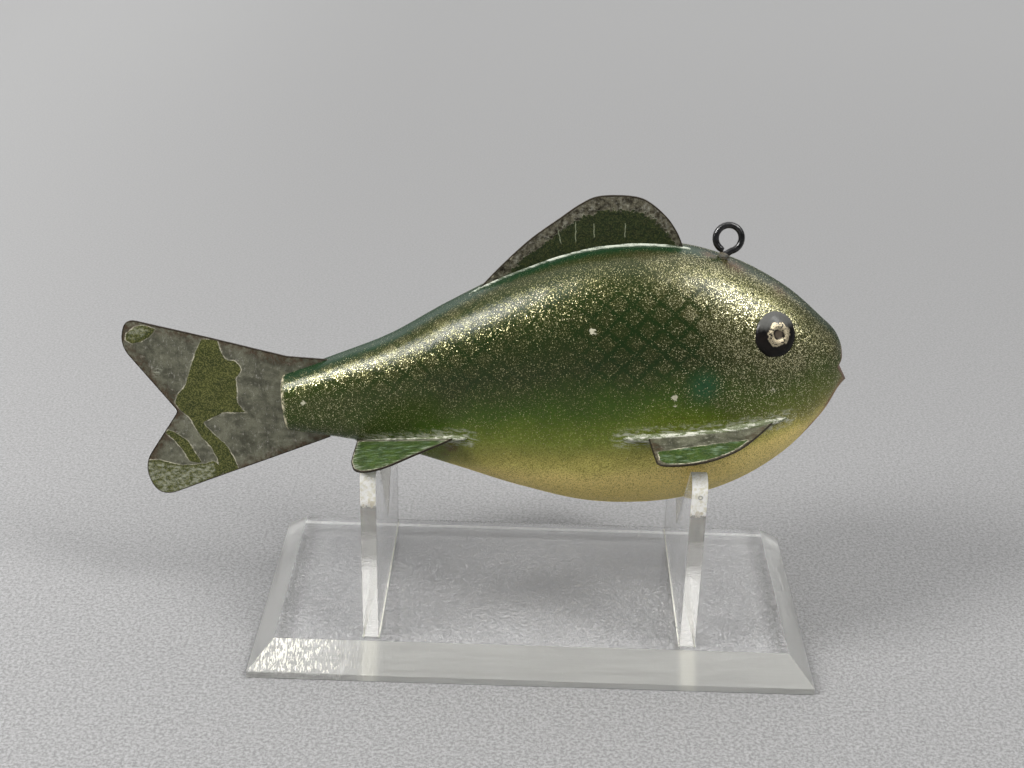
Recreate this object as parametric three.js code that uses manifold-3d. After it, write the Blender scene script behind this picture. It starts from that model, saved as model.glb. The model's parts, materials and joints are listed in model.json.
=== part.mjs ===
// A carved and painted wooden fish decoy with sheet-metal fins, lying in the notches of a clear acrylic stand.
// Millimetres, +Z up. The origin is the middle of the foot's underside. The head points along +X, and the
// fish's right side, the one at -Y, is the one that is usually shown.

import * as THREE from 'three';
import { mergeVertices } from 'three/addons/utils/BufferGeometryUtils.js';
import { ConvexGeometry } from 'three/addons/geometries/ConvexGeometry.js';
import Module from 'manifold-3d';

const wasm = await Module();
wasm.setup();

// Carved wooden body
const bodyLength = 141;
const bodyHeight = 68.2;
const bodyThickness = 38;
const tailEndX = -64.6; // where the wood's tail end stands along the foot
const backRoundness = 2.3; // 2 is an ellipse, and more is a squarer section
const bellyRoundness = 2.6;
const bodyRings = 55;
const bodySides = 40;

// Each rib as shares of the body's length, height and thickness: the back line's x and z, the belly line's
// x and z, and the width between the two.
const bodyRibs = [
  [0.0, 0.45, 0.01, 0.24, 0.31],
  [0.094, 0.53, 0.103, 0.22, 0.4],
  [0.193, 0.62, 0.209, 0.185, 0.526],
  [0.294, 0.748, 0.315, 0.126, 0.689],
  [0.409, 0.877, 0.434, 0.054, 0.842],
  [0.541, 0.978, 0.562, 0.003, 0.963],
  [0.672, 0.999, 0.695, 0.02, 1.0],
  [0.781, 0.952, 0.806, 0.099, 0.926],
  [0.878, 0.854, 0.894, 0.221, 0.716],
  [0.947, 0.74, 0.957, 0.37, 0.458],
  [0.98, 0.668, 0.985, 0.476, 0.274],
  [0.996, 0.55, 1.0, 0.51, 0.105],
];

// Mouth: a step cut straight across the snout, which leaves the lower jaw standing forward
const mouthDepth = 3.2; // from the jaw's tip back to the corner of the mouth
const upperLipBack = 2.2; // how far the upper lip stands behind the jaw's tip
const mouthRise = 5.4; // the corner of the mouth above the jaw's tip
const lipFaceRise = 1.6; // the lower edge of the upper lip above the corner of the mouth

// Sheet metal and the saw cuts that hold it
const sheetThickness = 0.5;
const slotClearance = 0.3; // on each side of a sheet, and at its ends
const tangDepth = 3.5; // how deep a fin's root goes into the wood
const tangSlant = 7; // along a side fin's root, from its rear end to where the tang is at its full depth

// Tail fin
const tailLength = 39.4; // what stands out behind the wood
const tailSlotDepth = 11.8; // how far the sheet runs forward between the two cheeks of the tail's root
const tailHeight = 48.5;
const tailRise = -4.0; // the lower lobe's lowest point against the lowest point of the belly
const tailCornerRadius = 6;
const tailNotchRadius = 1;

// Dorsal fin
const dorsalBehindJaw = 42.7; // from the jaw's tip back to the front end of the root
const dorsalLength = 49.2;
const dorsalRise = 17.63; // the fin's top above a straight line between the ends of the root

// Fins at the sides, in pairs. rearX is the rear end of the root, from the tail end of the wood, and height is
// its height above the lowest point of the belly. pitchDegrees lifts the fin towards the head, and tiltDegrees
// lifts it outwards. The outline is in shares of the root's length and of the reach.
const pectoralBehindJaw = 49.6; // from the jaw's tip back to the rear end of the root
const pectoralFin = {
  rearX: bodyLength - pectoralBehindJaw,
  rootLength: 30.9,
  height: 25.8,
  pitchDegrees: 5.7,
  tiltDegrees: -4,
  reach: 14.4,
  outline: [
    [0, 0], [0.03, 0.62], [0.06, 0.88], [0.2, 0.99], [0.37, 1], [0.53, 0.92], [0.69, 0.74], [0.84, 0.42], [1, 0],
  ],
};
const rearFin = {
  rearX: 19.4,
  rootLength: 24.5,
  height: 15.7,
  pitchDegrees: 8.5,
  tiltDegrees: 11,
  reach: 26.6,
  outline: [
    [0, 0], [0.04, 0.635], [0.08, 0.84], [0.125, 0.955], [0.215, 1], [0.34, 0.945], [0.47, 0.805], [0.655, 0.53],
    [0.86, 0.24], [1, 0.03],
  ],
};

// Eyes: upholstery tacks, pressed a little way into the wood
const eyeBehindJaw = 20.4;
const eyeBelowBack = 8.9; // from the back line straight above the eye
const tackRadius = 5.5;
const tackDome = 2.4;
const tackEdge = 0.25; // the upright edge of the tack's head
const tackSeat = 0.8;
const tackPitRadius = 1.3;
const tackPitDepth = 0.35;
const nailRadius = 0.8;
const nailLength = 7;

// Screw eye for the line
const screwEyeAheadOfFin = 9.6; // from the front end of the dorsal fin's root
const ringRadius = 3.15; // to the middle of the wire
const wireRadius = 0.8;
const ringStandoff = 0.9; // the ring's lowest point above the wood
const screwLength = 11;
const screwEyeLean = 15; // degrees away from the fish's right side
const boreClearance = 0.3;

// Clear acrylic stand
const footLength = 141.5;
const footHeight = 7.9;
const footLip = 1.8; // the upright edge below the bevel
const footBevel = 6.2; // the bevel's width on each side
const footMargin = 1.5; // from an upright's edge to the bevel
const uprightThickness = 3.9;
const uprightHeight = 47.3; // from the foot to the tips of the prongs
const headUprightX = 39.2;
const tailUprightX = -40.2;
const prongRadius = 4;
const prongReach = 9.4; // how far an upright stands out past the widest part of the body, on each side
const glueLine = 0.02; // between the foot and an upright
const restGap = 0.3; // between the fish and the stand
const uprightDepth = bodyThickness + 2 * prongReach;

const xAxis = new THREE.Vector3(1, 0, 0);
const yAxis = new THREE.Vector3(0, 1, 0);
const zAxis = new THREE.Vector3(0, 0, 1);
const radians = THREE.MathUtils.degToRad;

// Closed solids and the cuts between them

function closed(geometry) {
  const bare = geometry.clone();
  bare.deleteAttribute('normal');
  bare.deleteAttribute('uv');
  return mergeVertices(bare, 1e-5);
}

function toSolid(geometry) {
  const merged = closed(geometry);
  return new wasm.Manifold(new wasm.Mesh({
    numProp: 3,
    vertProperties: new Float32Array(merged.attributes.position.array),
    triVerts: new Uint32Array(merged.index.array),
  }));
}

function toGeometry(solid) {
  const { vertProperties, triVerts } = solid.getMesh();
  const geometry = new THREE.BufferGeometry();
  geometry.setAttribute('position', new THREE.BufferAttribute(vertProperties, 3));
  geometry.setIndex(new THREE.BufferAttribute(triVerts, 1));
  return geometry;
}

function cut(geometry, cutters) {
  return toGeometry(cutters.reduce((solid, cutter) => solid.subtract(toSolid(cutter)), toSolid(geometry)));
}

// A flat outline given thickness, centred on its own plane
function plate(outline, thickness) {
  const geometry = new THREE.ExtrudeGeometry(outline, { depth: thickness, bevelEnabled: false, curveSegments: 8 });
  return geometry.translate(0, 0, -thickness / 2);
}

// An outline drawn in x and z stands along the fish, and one drawn in y and z stands across it
const alongFish = new THREE.Matrix4().makeBasis(xAxis, zAxis, yAxis.clone().negate());
const acrossFish = new THREE.Matrix4().makeBasis(yAxis, zAxis, xAxis);

function polygon(points) {
  return new THREE.Shape(points.map(([x, y]) => new THREE.Vector2(x, y)));
}

// A corner of an outline, rounded so that the round starts at the given distance from the corner
function roundCorner(shape, before, corner, after, distance) {
  const start = corner.clone().lerp(before, distance / corner.distanceTo(before));
  const end = corner.clone().lerp(after, distance / corner.distanceTo(after));
  shape.lineTo(start.x, start.y);
  shape.bezierCurveTo(
    (start.x + 2 * corner.x) / 3, (start.y + 2 * corner.y) / 3,
    (end.x + 2 * corner.x) / 3, (end.y + 2 * corner.y) / 3,
    end.x, end.y,
  );
}

// The body's skin. t runs from the tail end, 0, to the jaw, 1, and the angle runs round a rib from the back.

const backLine = new THREE.SplineCurve(
  bodyRibs.map(([x, z]) => new THREE.Vector2(x * bodyLength, z * bodyHeight)),
);
const bellyLine = new THREE.SplineCurve(
  bodyRibs.map(([, , x, z]) => new THREE.Vector2(x * bodyLength, z * bodyHeight)),
);
const widthLine = new THREE.SplineCurve(
  bodyRibs.map((rib, index) => new THREE.Vector2(index, rib[4] * bodyThickness / 2)),
);

function skinPoint(t, angle) {
  const back = backLine.getPoint(t);
  const belly = bellyLine.getPoint(t);
  const up = Math.cos(angle);
  const out = Math.sin(angle);
  const power = 2 / (up > 0 ? backRoundness : bellyRoundness);
  const share = 0.5 + 0.5 * Math.sign(up) * Math.abs(up) ** power;
  const spread = Math.sign(out) * Math.abs(out) ** power;
  return new THREE.Vector3(
    THREE.MathUtils.lerp(belly.x, back.x, share),
    spread * widthLine.getPoint(t).y,
    THREE.MathUtils.lerp(belly.y, back.y, share),
  );
}

// The body's half width at a place in its side view
function halfWidthAt(x, z) {
  let rear = 0;
  let front = 1;
  for (let step = 0; step < 30; step++) {
    const middle = (rear + front) / 2;
    const back = backLine.getPoint(middle);
    const belly = bellyLine.getPoint(middle);
    const ahead = (x - belly.x) * (back.y - belly.y) - (z - belly.y) * (back.x - belly.x);
    if (ahead > 0) rear = middle;
    else front = middle;
  }
  const back = backLine.getPoint(rear);
  const belly = bellyLine.getPoint(rear);
  const level = 2 * (z - belly.y) / (back.y - belly.y) - 1;
  const roundness = level > 0 ? backRoundness : bellyRoundness;
  return widthLine.getPoint(rear).y * Math.max(0, 1 - Math.abs(level) ** roundness) ** (1 / roundness);
}

// The outward direction of the skin there, on the side that the sign gives
function skinNormal(x, z, side) {
  const step = 0.5;
  const alongX = (halfWidthAt(x + step, z) - halfWidthAt(x - step, z)) / (2 * step);
  const alongZ = (halfWidthAt(x, z + step) - halfWidthAt(x, z - step)) / (2 * step);
  return new THREE.Vector3(-alongX, side, -alongZ).normalize();
}

// The place on the back line at x, and the back's lean there
function backAt(x) {
  let rear = 0;
  let front = 1;
  for (let step = 0; step < 30; step++) {
    const middle = (rear + front) / 2;
    if (backLine.getPoint(middle).x < x) rear = middle;
    else front = middle;
  }
  const tangent = backLine.getTangent(rear);
  return { z: backLine.getPoint(rear).y, lean: Math.atan2(-tangent.y, tangent.x) };
}

function bodyBlank() {
  const positions = [];
  const indices = [];
  for (let ring = 0; ring <= bodyRings; ring++) {
    for (let side = 0; side < bodySides; side++) {
      positions.push(...skinPoint(ring / bodyRings, 2 * Math.PI * side / bodySides).toArray());
    }
  }
  for (let ring = 0; ring < bodyRings; ring++) {
    for (let side = 0; side < bodySides; side++) {
      const here = ring * bodySides + side;
      const beside = ring * bodySides + (side + 1) % bodySides;
      indices.push(here, here + bodySides, beside, beside, here + bodySides, beside + bodySides);
    }
  }
  for (const ring of [0, bodyRings]) {
    const middle = skinPoint(ring / bodyRings, 0).lerp(skinPoint(ring / bodyRings, Math.PI), 0.5);
    const centre = positions.length / 3;
    positions.push(...middle.toArray());
    for (let side = 0; side < bodySides; side++) {
      const here = ring * bodySides + side;
      const beside = ring * bodySides + (side + 1) % bodySides;
      indices.push(...(ring === 0 ? [centre, here, beside] : [centre, beside, here]));
    }
  }
  const geometry = new THREE.BufferGeometry();
  geometry.setAttribute('position', new THREE.Float32BufferAttribute(positions, 3));
  geometry.setIndex(indices);
  return geometry;
}

function mouthCutter() {
  const [, , jawX, jawZ] = bodyRibs[bodyRibs.length - 1];
  const tip = new THREE.Vector2(jawX * bodyLength, jawZ * bodyHeight);
  const corner = new THREE.Vector2(tip.x - mouthDepth, tip.y + mouthRise);
  const beyond = corner.clone().lerp(tip, 4);
  const lipX = tip.x - upperLipBack;
  const outline = polygon([
    [corner.x, corner.y], [beyond.x, beyond.y], [beyond.x, bodyHeight],
    [lipX, bodyHeight], [lipX, corner.y + lipFaceRise],
  ]);
  return plate(outline, bodyThickness).applyMatrix4(alongFish);
}

// Fins that stand in the fish's middle plane

function tailOutline() {
  // Each corner of the fork as shares of the tail's length, from the wood backwards, and of its height
  const place = (back, up) => new THREE.Vector2(-back * tailLength, tailRise + up * tailHeight);
  const bottomRoot = place(-tailSlotDepth / tailLength, 0.365);
  const topRoot = place(-tailSlotDepth / tailLength, 0.815);
  const topBend = place(-0.04, 0.826);
  const upperTip = place(0.975, 1.015);
  const upperLobe = place(1.02, 0.865);
  const notch = place(0.685, 0.49);
  const lowerLobe = place(0.935, 0.17);
  const lowerTip = place(0.86, -0.04);
  const shape = new THREE.Shape();
  shape.moveTo(bottomRoot.x, bottomRoot.y);
  shape.lineTo(topRoot.x, topRoot.y);
  shape.lineTo(topBend.x, topBend.y);
  roundCorner(shape, topBend, upperTip, upperLobe, 0.5 * tailCornerRadius);
  roundCorner(shape, upperTip, upperLobe, notch, 0.6 * tailCornerRadius);
  roundCorner(shape, upperLobe, notch, lowerLobe, tailNotchRadius);
  roundCorner(shape, notch, lowerLobe, lowerTip, 0.7 * tailCornerRadius);
  roundCorner(shape, lowerLobe, lowerTip, bottomRoot, tailCornerRadius);
  shape.closePath();
  return shape;
}

function tailSlot() {
  const front = tailSlotDepth + slotClearance;
  const outline = polygon([[-1, -bodyHeight], [front, -bodyHeight], [front, 2 * bodyHeight], [-1, 2 * bodyHeight]]);
  return plate(outline, sheetThickness + 2 * slotClearance).applyMatrix4(alongFish);
}

// The dorsal fin's root goes straight down into the wood, to a straight saw cut
const dorsalFrontX = bodyLength - dorsalBehindJaw;
const dorsalRearX = dorsalFrontX - dorsalLength;
const dorsalFloor = (x, clearance) => [x, backAt(x).z - tangDepth - clearance];

function dorsalOutline() {
  const rear = new THREE.Vector2(dorsalRearX, backAt(dorsalRearX).z);
  const front = new THREE.Vector2(dorsalFrontX, backAt(dorsalFrontX).z);
  const lift = new THREE.Vector2(0, dorsalRise);
  const edge = [
    [0, 0], [0.11, 0.28], [0.25, 0.582], [0.39, 0.798], [0.49, 0.942], [0.57, 1],
    [0.68, 0.951], [0.78, 0.852], [0.85, 0.696], [0.92, 0.468], [0.97, 0.233], [1, 0.026],
  ].map(([along, up]) => rear.clone().lerp(front, along).addScaledVector(lift, up));
  const shape = new THREE.Shape();
  shape.moveTo(...dorsalFloor(dorsalFrontX, 0));
  shape.lineTo(...dorsalFloor(dorsalRearX, 0));
  shape.lineTo(edge[0].x, edge[0].y);
  shape.splineThru(edge.slice(1));
  shape.closePath();
  return shape;
}

function dorsalSlot() {
  const rear = dorsalRearX - slotClearance;
  const front = dorsalFrontX + slotClearance;
  const outline = polygon([
    dorsalFloor(rear, slotClearance), dorsalFloor(front, slotClearance),
    [front, 2 * bodyHeight], [rear, 2 * bodyHeight],
  ]);
  return plate(outline, sheetThickness + 2 * slotClearance).applyMatrix4(alongFish);
}

// Fins at the sides. side is -1 for the fish's right and 1 for its left.

function sideFinRoot({ rearX, rootLength, height, pitchDegrees, tiltDegrees }) {
  const pitch = radians(pitchDegrees);
  const tilt = radians(tiltDegrees);
  const outwardSlope = Math.tan(tilt) / Math.cos(pitch);
  const rearY = halfWidthAt(rearX, height);
  let frontY = rearY;
  for (let step = 0; step < 20; step++) {
    const frontZ = height + Math.tan(pitch) * rootLength + outwardSlope * (frontY - rearY);
    frontY = halfWidthAt(rearX + rootLength, frontZ);
  }
  const frontV = (frontY - rearY) / Math.cos(tilt);
  const frontU = rootLength / Math.cos(pitch) + frontV * Math.sin(tilt) * Math.tan(pitch);
  return { rearY, frontU, frontV, outwardSlope };
}

// Places a flat piece, drawn from the rear end of the fin's root, in the plane of the fin
function placeSideFin(geometry, fin, side) {
  geometry.rotateX(side * radians(fin.tiltDegrees));
  geometry.rotateY(-radians(fin.pitchDegrees));
  return geometry.translate(fin.rearX, side * sideFinRoot(fin).rearY, fin.height);
}

// The tang's depth tapers to nothing at the rear end, where the wood is thin
function sideFin(fin, side) {
  const { frontU, frontV } = sideFinRoot(fin);
  const place = ([along, out]) => new THREE.Vector2(along * frontU, side * (along * frontV + out * fin.reach));
  const slantEnd = tangSlant / frontU * frontV - tangDepth;
  const shape = new THREE.Shape();
  shape.moveTo(frontU, side * (frontV - tangDepth));
  shape.lineTo(tangSlant, side * slantEnd);
  shape.lineTo(0, 0);
  shape.splineThru(fin.outline.slice(1).map(place));
  shape.closePath();
  return placeSideFin(plate(shape, sheetThickness), fin, side);
}

function sideFinSlot(fin, side) {
  const { frontU, frontV } = sideFinRoot(fin);
  const inner = tangDepth + slotClearance;
  const rear = -2 * slotClearance;
  const front = frontU + slotClearance;
  const outline = polygon([
    [rear, side * fin.reach], [rear, 0], [tangSlant + rear, side * (tangSlant / frontU * frontV - inner)],
    [front, side * (frontV - inner)], [front, side * fin.reach],
  ]);
  return placeSideFin(plate(outline, sheetThickness + 2 * slotClearance), fin, side);
}

// Eyes. The tack's axis is the geometry's y axis, and its dome starts at y = 0.

function tackGeometry() {
  const profile = [
    [0, -nailLength], [nailRadius, -nailLength + 2 * nailRadius], [nailRadius, 0], [tackRadius, 0],
    [tackRadius, tackEdge],
  ];
  const steps = 6;
  for (let step = 1; step < steps; step++) {
    const angle = Math.PI / 2 * step / steps;
    const radius = tackPitRadius + (tackRadius - tackPitRadius) * Math.cos(angle);
    profile.push([radius, tackEdge + (tackDome - tackEdge) * Math.sin(angle)]);
  }
  profile.push([tackPitRadius, tackDome], [0.7 * tackPitRadius, tackDome - tackPitDepth], [0, tackDome - tackPitDepth]);
  return new THREE.LatheGeometry(profile.map(([radius, height]) => new THREE.Vector2(radius, height)), 24);
}

function eyePlace(side) {
  const eyeX = bodyLength - eyeBehindJaw;
  const eyeZ = backAt(eyeX).z - eyeBelowBack;
  const normal = skinNormal(eyeX, eyeZ, side);
  const position = new THREE.Vector3(eyeX, side * halfWidthAt(eyeX, eyeZ), eyeZ);
  position.addScaledVector(normal, -tackSeat);
  return { position, turn: new THREE.Quaternion().setFromUnitVectors(yAxis, normal) };
}

function eyePockets(side) {
  const { position, turn } = eyePlace(side);
  const pocketRadius = tackRadius + slotClearance;
  const boreDepth = nailLength + boreClearance;
  const pocket = new THREE.CylinderGeometry(pocketRadius, pocketRadius, tackDome, 24);
  const bore = new THREE.CylinderGeometry(nailRadius + boreClearance, nailRadius + boreClearance, boreDepth, 12);
  pocket.translate(0, tackDome / 2 - slotClearance, 0);
  bore.translate(0, -boreDepth / 2, 0);
  return [pocket, bore].map((geometry) => geometry.applyQuaternion(turn).translate(...position.toArray()));
}

// Screw eye, drawn with its foot at the wood's surface and its ring above it

const ringHeight = ringStandoff + wireRadius + ringRadius;

function screwEyeGeometry() {
  const ring = new THREE.TorusGeometry(ringRadius, wireRadius, 10, 28);
  ring.applyMatrix4(alongFish).translate(0, 0, ringHeight);
  const shankTop = ringHeight - ringRadius;
  const shank = new THREE.CylinderGeometry(wireRadius, wireRadius, shankTop + 0.8 * screwLength, 12);
  shank.rotateX(Math.PI / 2).translate(0, 0, (shankTop - 0.8 * screwLength) / 2);
  const point = new THREE.ConeGeometry(wireRadius, 0.3 * screwLength, 12);
  point.rotateX(-Math.PI / 2).translate(0, 0, -0.85 * screwLength);
  return toGeometry(toSolid(ring).add(toSolid(shank)).add(toSolid(point)));
}

function placeScrewEye(geometry) {
  const screwEyeX = dorsalFrontX + screwEyeAheadOfFin;
  const { z, lean } = backAt(screwEyeX);
  return geometry.rotateX(-radians(screwEyeLean)).rotateY(lean).translate(screwEyeX, 0, z);
}

function screwEyeBore() {
  const radius = wireRadius + boreClearance;
  const bore = new THREE.CylinderGeometry(radius, radius, 2 * (screwLength + boreClearance), 12);
  return placeScrewEye(bore.rotateX(Math.PI / 2));
}

// Stand

const footTop = footHeight;
const uprightBase = footTop + glueLine;
const prongTop = footTop + uprightHeight;
const prongY = uprightDepth / 2 - prongRadius;

// The fish's height: its rear fins lie on the tips of the prongs of the upright at the tail
function rearFinUnderside() {
  const { rearY, outwardSlope } = sideFinRoot(rearFin);
  const pitchSlope = Math.tan(radians(rearFin.pitchDegrees));
  const steepness = Math.hypot(1, pitchSlope, outwardSlope);
  const overProng = rearFin.height
    + pitchSlope * (tailUprightX - tailEndX - rearFin.rearX) + outwardSlope * (prongY - rearY);
  const tipLoss = pitchSlope * uprightThickness / 2 + prongRadius * (Math.hypot(1, outwardSlope) - 1);
  return overProng - tipLoss - steepness * sheetThickness / 2;
}
const bellyHeight = prongTop + restGap - rearFinUnderside();

// The lowest place where a line of this slope, rising outwards, would cross the middle plane if it touched
// the belly over the upright at the head
function bellyTangent(slope) {
  const reach = uprightThickness / 2 + restGap;
  let lowest = Infinity;
  for (let t = 0.4; t < 1; t += 0.004) {
    for (let angle = Math.PI / 2; angle < Math.PI; angle += 0.02) {
      const { x, y, z } = skinPoint(t, angle);
      if (Math.abs(x + tailEndX - headUprightX) < reach) lowest = Math.min(lowest, z - slope * y);
    }
  }
  return bellyHeight + lowest - restGap * Math.hypot(1, slope);
}

// The notch's sides run from the middle to the round of each prong, as steep as the belly needs
const notchFoot = (slope) => prongTop - prongRadius - slope * prongY + prongRadius * Math.hypot(1, slope);

function notchSlope() {
  let flat = 0.2;
  let steep = 3;
  for (let step = 0; step < 24; step++) {
    const middle = (flat + steep) / 2;
    if (notchFoot(middle) > bellyTangent(middle)) flat = middle;
    else steep = middle;
  }
  return steep;
}

function uprightOutline() {
  const slope = notchSlope();
  const lean = Math.atan(slope);
  const halfDepth = uprightDepth / 2;
  const roundZ = prongTop - prongRadius;
  const shape = new THREE.Shape();
  shape.moveTo(-halfDepth, uprightBase);
  shape.lineTo(halfDepth, uprightBase);
  shape.absarc(prongY, roundZ, prongRadius, 0, Math.PI / 2 + lean, false);
  shape.lineTo(0, notchFoot(slope));
  shape.absarc(-prongY, roundZ, prongRadius, Math.PI / 2 - lean, Math.PI, false);
  shape.closePath();
  return shape;
}

function uprightGeometry(x) {
  return plate(uprightOutline(), uprightThickness).applyMatrix4(acrossFish).translate(x, 0, 0);
}

function footGeometry() {
  const halfLength = footLength / 2;
  const halfDepth = uprightDepth / 2 + footMargin + footBevel;
  const corners = [[0, 0], [footLip, 0], [footTop, footBevel]].flatMap(([z, inset]) => (
    [[-1, -1], [-1, 1], [1, -1], [1, 1]].map(([x, y]) => (
      new THREE.Vector3(x * (halfLength - inset), y * (halfDepth - inset), z)
    ))
  ));
  return new ConvexGeometry(corners);
}

// Colours

const finishes = {
  paintedWood: new THREE.MeshStandardMaterial({ color: 0x4a5f24, roughness: 0.35, metalness: 0.3 }),
  paintedSheet: new THREE.MeshStandardMaterial({ color: 0x3c5226, roughness: 0.5, metalness: 0.4 }),
  bareSheet: new THREE.MeshStandardMaterial({ color: 0x66625e, roughness: 0.55, metalness: 0.7 }),
  blackTack: new THREE.MeshStandardMaterial({ color: 0x161413, roughness: 0.25, metalness: 0.4 }),
  steelWire: new THREE.MeshStandardMaterial({ color: 0x3a3d40, roughness: 0.35, metalness: 0.9 }),
  clearAcrylic: new THREE.MeshStandardMaterial({
    color: 0xdfe3e4, roughness: 0.08, metalness: 0, transparent: true, opacity: 0.35,
  }),
};

// The object

const decoy = new THREE.Group();
const fish = new THREE.Group();
fish.position.set(tailEndX, 0, bellyHeight);
decoy.add(fish);

function addPiece(group, name, geometry, finish) {
  const mesh = new THREE.Mesh(geometry, finish.clone());
  mesh.name = name;
  group.add(mesh);
  return mesh;
}

const sides = [['right', -1], ['left', 1]];
const bodyCutters = [mouthCutter(), tailSlot(), dorsalSlot(), screwEyeBore()];
for (const [, side] of sides) {
  bodyCutters.push(sideFinSlot(pectoralFin, side), sideFinSlot(rearFin, side), ...eyePockets(side));
}
addPiece(fish, 'body', cut(bodyBlank(), bodyCutters), finishes.paintedWood);

const tailSheet = plate(tailOutline(), sheetThickness).applyMatrix4(alongFish);
addPiece(fish, 'tail_fin', tailSheet, finishes.bareSheet);
const dorsalSheet = plate(dorsalOutline(), sheetThickness).applyMatrix4(alongFish);
addPiece(fish, 'dorsal_fin', dorsalSheet, finishes.paintedSheet);

for (const [name, side] of sides) {
  addPiece(fish, `pectoral_fin_${name}`, sideFin(pectoralFin, side), finishes.paintedSheet);
  addPiece(fish, `rear_fin_${name}`, sideFin(rearFin, side), finishes.paintedSheet);
  const eye = addPiece(fish, `eye_${name}`, tackGeometry(), finishes.blackTack);
  const { position, turn } = eyePlace(side);
  eye.position.copy(position);
  eye.quaternion.copy(turn);
}
addPiece(fish, 'screw_eye', placeScrewEye(screwEyeGeometry()), finishes.steelWire);

addPiece(decoy, 'stand_foot', footGeometry(), finishes.clearAcrylic);
addPiece(decoy, 'upright_head', uprightGeometry(headUprightX), finishes.clearAcrylic);
addPiece(decoy, 'upright_tail', uprightGeometry(tailUprightX), finishes.clearAcrylic);

export default decoy;
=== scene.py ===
import bpy
import json
import math
import numpy as np
from mathutils import Matrix, Vector, geometry

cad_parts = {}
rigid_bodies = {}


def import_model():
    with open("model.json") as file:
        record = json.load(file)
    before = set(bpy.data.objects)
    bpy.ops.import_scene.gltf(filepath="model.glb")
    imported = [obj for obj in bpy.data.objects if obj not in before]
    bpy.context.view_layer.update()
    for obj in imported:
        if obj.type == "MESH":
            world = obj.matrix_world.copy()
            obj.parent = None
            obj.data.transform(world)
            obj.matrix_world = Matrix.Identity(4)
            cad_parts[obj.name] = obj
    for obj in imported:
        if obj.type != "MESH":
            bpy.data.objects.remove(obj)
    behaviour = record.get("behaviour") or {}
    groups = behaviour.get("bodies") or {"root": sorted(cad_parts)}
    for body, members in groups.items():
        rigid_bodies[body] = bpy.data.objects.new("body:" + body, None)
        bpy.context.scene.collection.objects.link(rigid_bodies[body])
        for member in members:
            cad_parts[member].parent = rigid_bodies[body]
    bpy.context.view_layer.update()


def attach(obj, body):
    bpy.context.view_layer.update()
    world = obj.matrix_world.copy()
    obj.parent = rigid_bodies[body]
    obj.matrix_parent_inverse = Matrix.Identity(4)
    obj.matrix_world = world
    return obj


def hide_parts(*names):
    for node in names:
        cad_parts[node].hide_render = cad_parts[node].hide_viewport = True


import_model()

# Sizes are in millimetres, in the frame of the model: x towards the head, y towards the fish's left, z up
mm = 0.001
place = {"tailEndX": -64.6, "bellyHeight": 35.878}  # where the tail end of the wood and the belly's low point are
offset = np.array([place["tailEndX"], 0, place["bellyHeight"]])
collection = bpy.context.scene.collection


def addPiece(name, points, faces, finishes, faceFinish=None, sharp=35, layers=None):
    mesh = bpy.data.meshes.new(name)
    mesh.from_pydata((np.asarray(points, float) * mm).tolist(), [], faces)
    for layer, values in (layers or {}).items():
        mesh.attributes.new(layer, "FLOAT", "POINT").data.foreach_set("value", np.asarray(values, np.float32))
    mesh.update()
    mesh.shade_smooth()
    mesh.set_sharp_from_angle(angle=math.radians(sharp))
    piece = bpy.data.objects.new(name, mesh)
    collection.objects.link(piece)
    for finish in finishes:
        mesh.materials.append(finish)
    if faceFinish is not None:
        mesh.polygons.foreach_set("material_index", faceFinish)
    return piece


def keep(piece, slot, *nodes):
    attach(piece, "root")
    if nodes:
        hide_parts(*nodes)


def plainMesh(piece, name):  # what the modifiers make, as a mesh of its own
    evaluated = piece.evaluated_get(bpy.context.evaluated_depsgraph_get())
    mesh = bpy.data.meshes.new_from_object(evaluated)
    bpy.data.objects.remove(piece)
    done = bpy.data.objects.new(name, mesh)
    collection.objects.link(done)
    return done


class Field:  # a value that varies over a surface, with which sums can be written plainly
    def __init__(self, socket):
        self.socket = socket

    def __add__(self, other):
        return calc("ADD", self, other)

    def __sub__(self, other):
        return calc("SUBTRACT", self, other)

    def __rsub__(self, other):
        return calc("SUBTRACT", other, self)

    def __mul__(self, other):
        return calc("MULTIPLY", self, other)

    def __truediv__(self, other):
        return calc("DIVIDE", self, other)

    def __rtruediv__(self, other):
        return calc("DIVIDE", other, self)

    def __lt__(self, other):
        return calc("LESS_THAN", self, other)

    def __abs__(self):
        return calc("ABSOLUTE", self)


def connect(socket, value):  # a field is linked, and a plain value is set
    source = value.socket if isinstance(value, Field) else value
    if isinstance(source, bpy.types.NodeSocket):
        socket.id_data.links.new(source, socket)
    elif socket.type == "RGBA" and len(source) == 3:
        socket.default_value = (*source, 1)
    else:
        socket.default_value = source


def put(tree, kind, inputs=None, **settings):
    item = tree.nodes.new(kind)
    for key, value in settings.items():
        setattr(item, key, value)
    for key, value in (inputs or {}).items():
        connect(item.inputs[key], value)
    return item


def treeOf(*values):
    return next(value.socket.id_data for value in values if isinstance(value, Field))


def calc(operation, *values, clamp=False):
    return Field(put(treeOf(*values), "ShaderNodeMath", dict(enumerate(values)), operation=operation,
                     use_clamp=clamp).outputs[0])


def vector(operation, *values, **named):
    item = put(treeOf(*values), "ShaderNodeVectorMath", {**dict(enumerate(values)), **named}, operation=operation)
    return Field(item.outputs["Value" if operation in ("DISTANCE", "LENGTH") else "Vector"])


def largest(first, *others):
    for other in others:
        first = calc("MAXIMUM", first, other)
    return first


def parts(field, kind="ShaderNodeSeparateXYZ"):
    return [Field(socket) for socket in put(treeOf(field), kind, {0: field}).outputs]


def ease(value, low, high, fromLow=0.0, toHigh=1.0):  # a smooth step from low to high
    inputs = {"Value": value, "From Min": low, "From Max": high, "To Min": fromLow, "To Max": toHigh}
    return Field(put(treeOf(value), "ShaderNodeMapRange", inputs, interpolation_type="SMOOTHSTEP").outputs["Result"])


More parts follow.
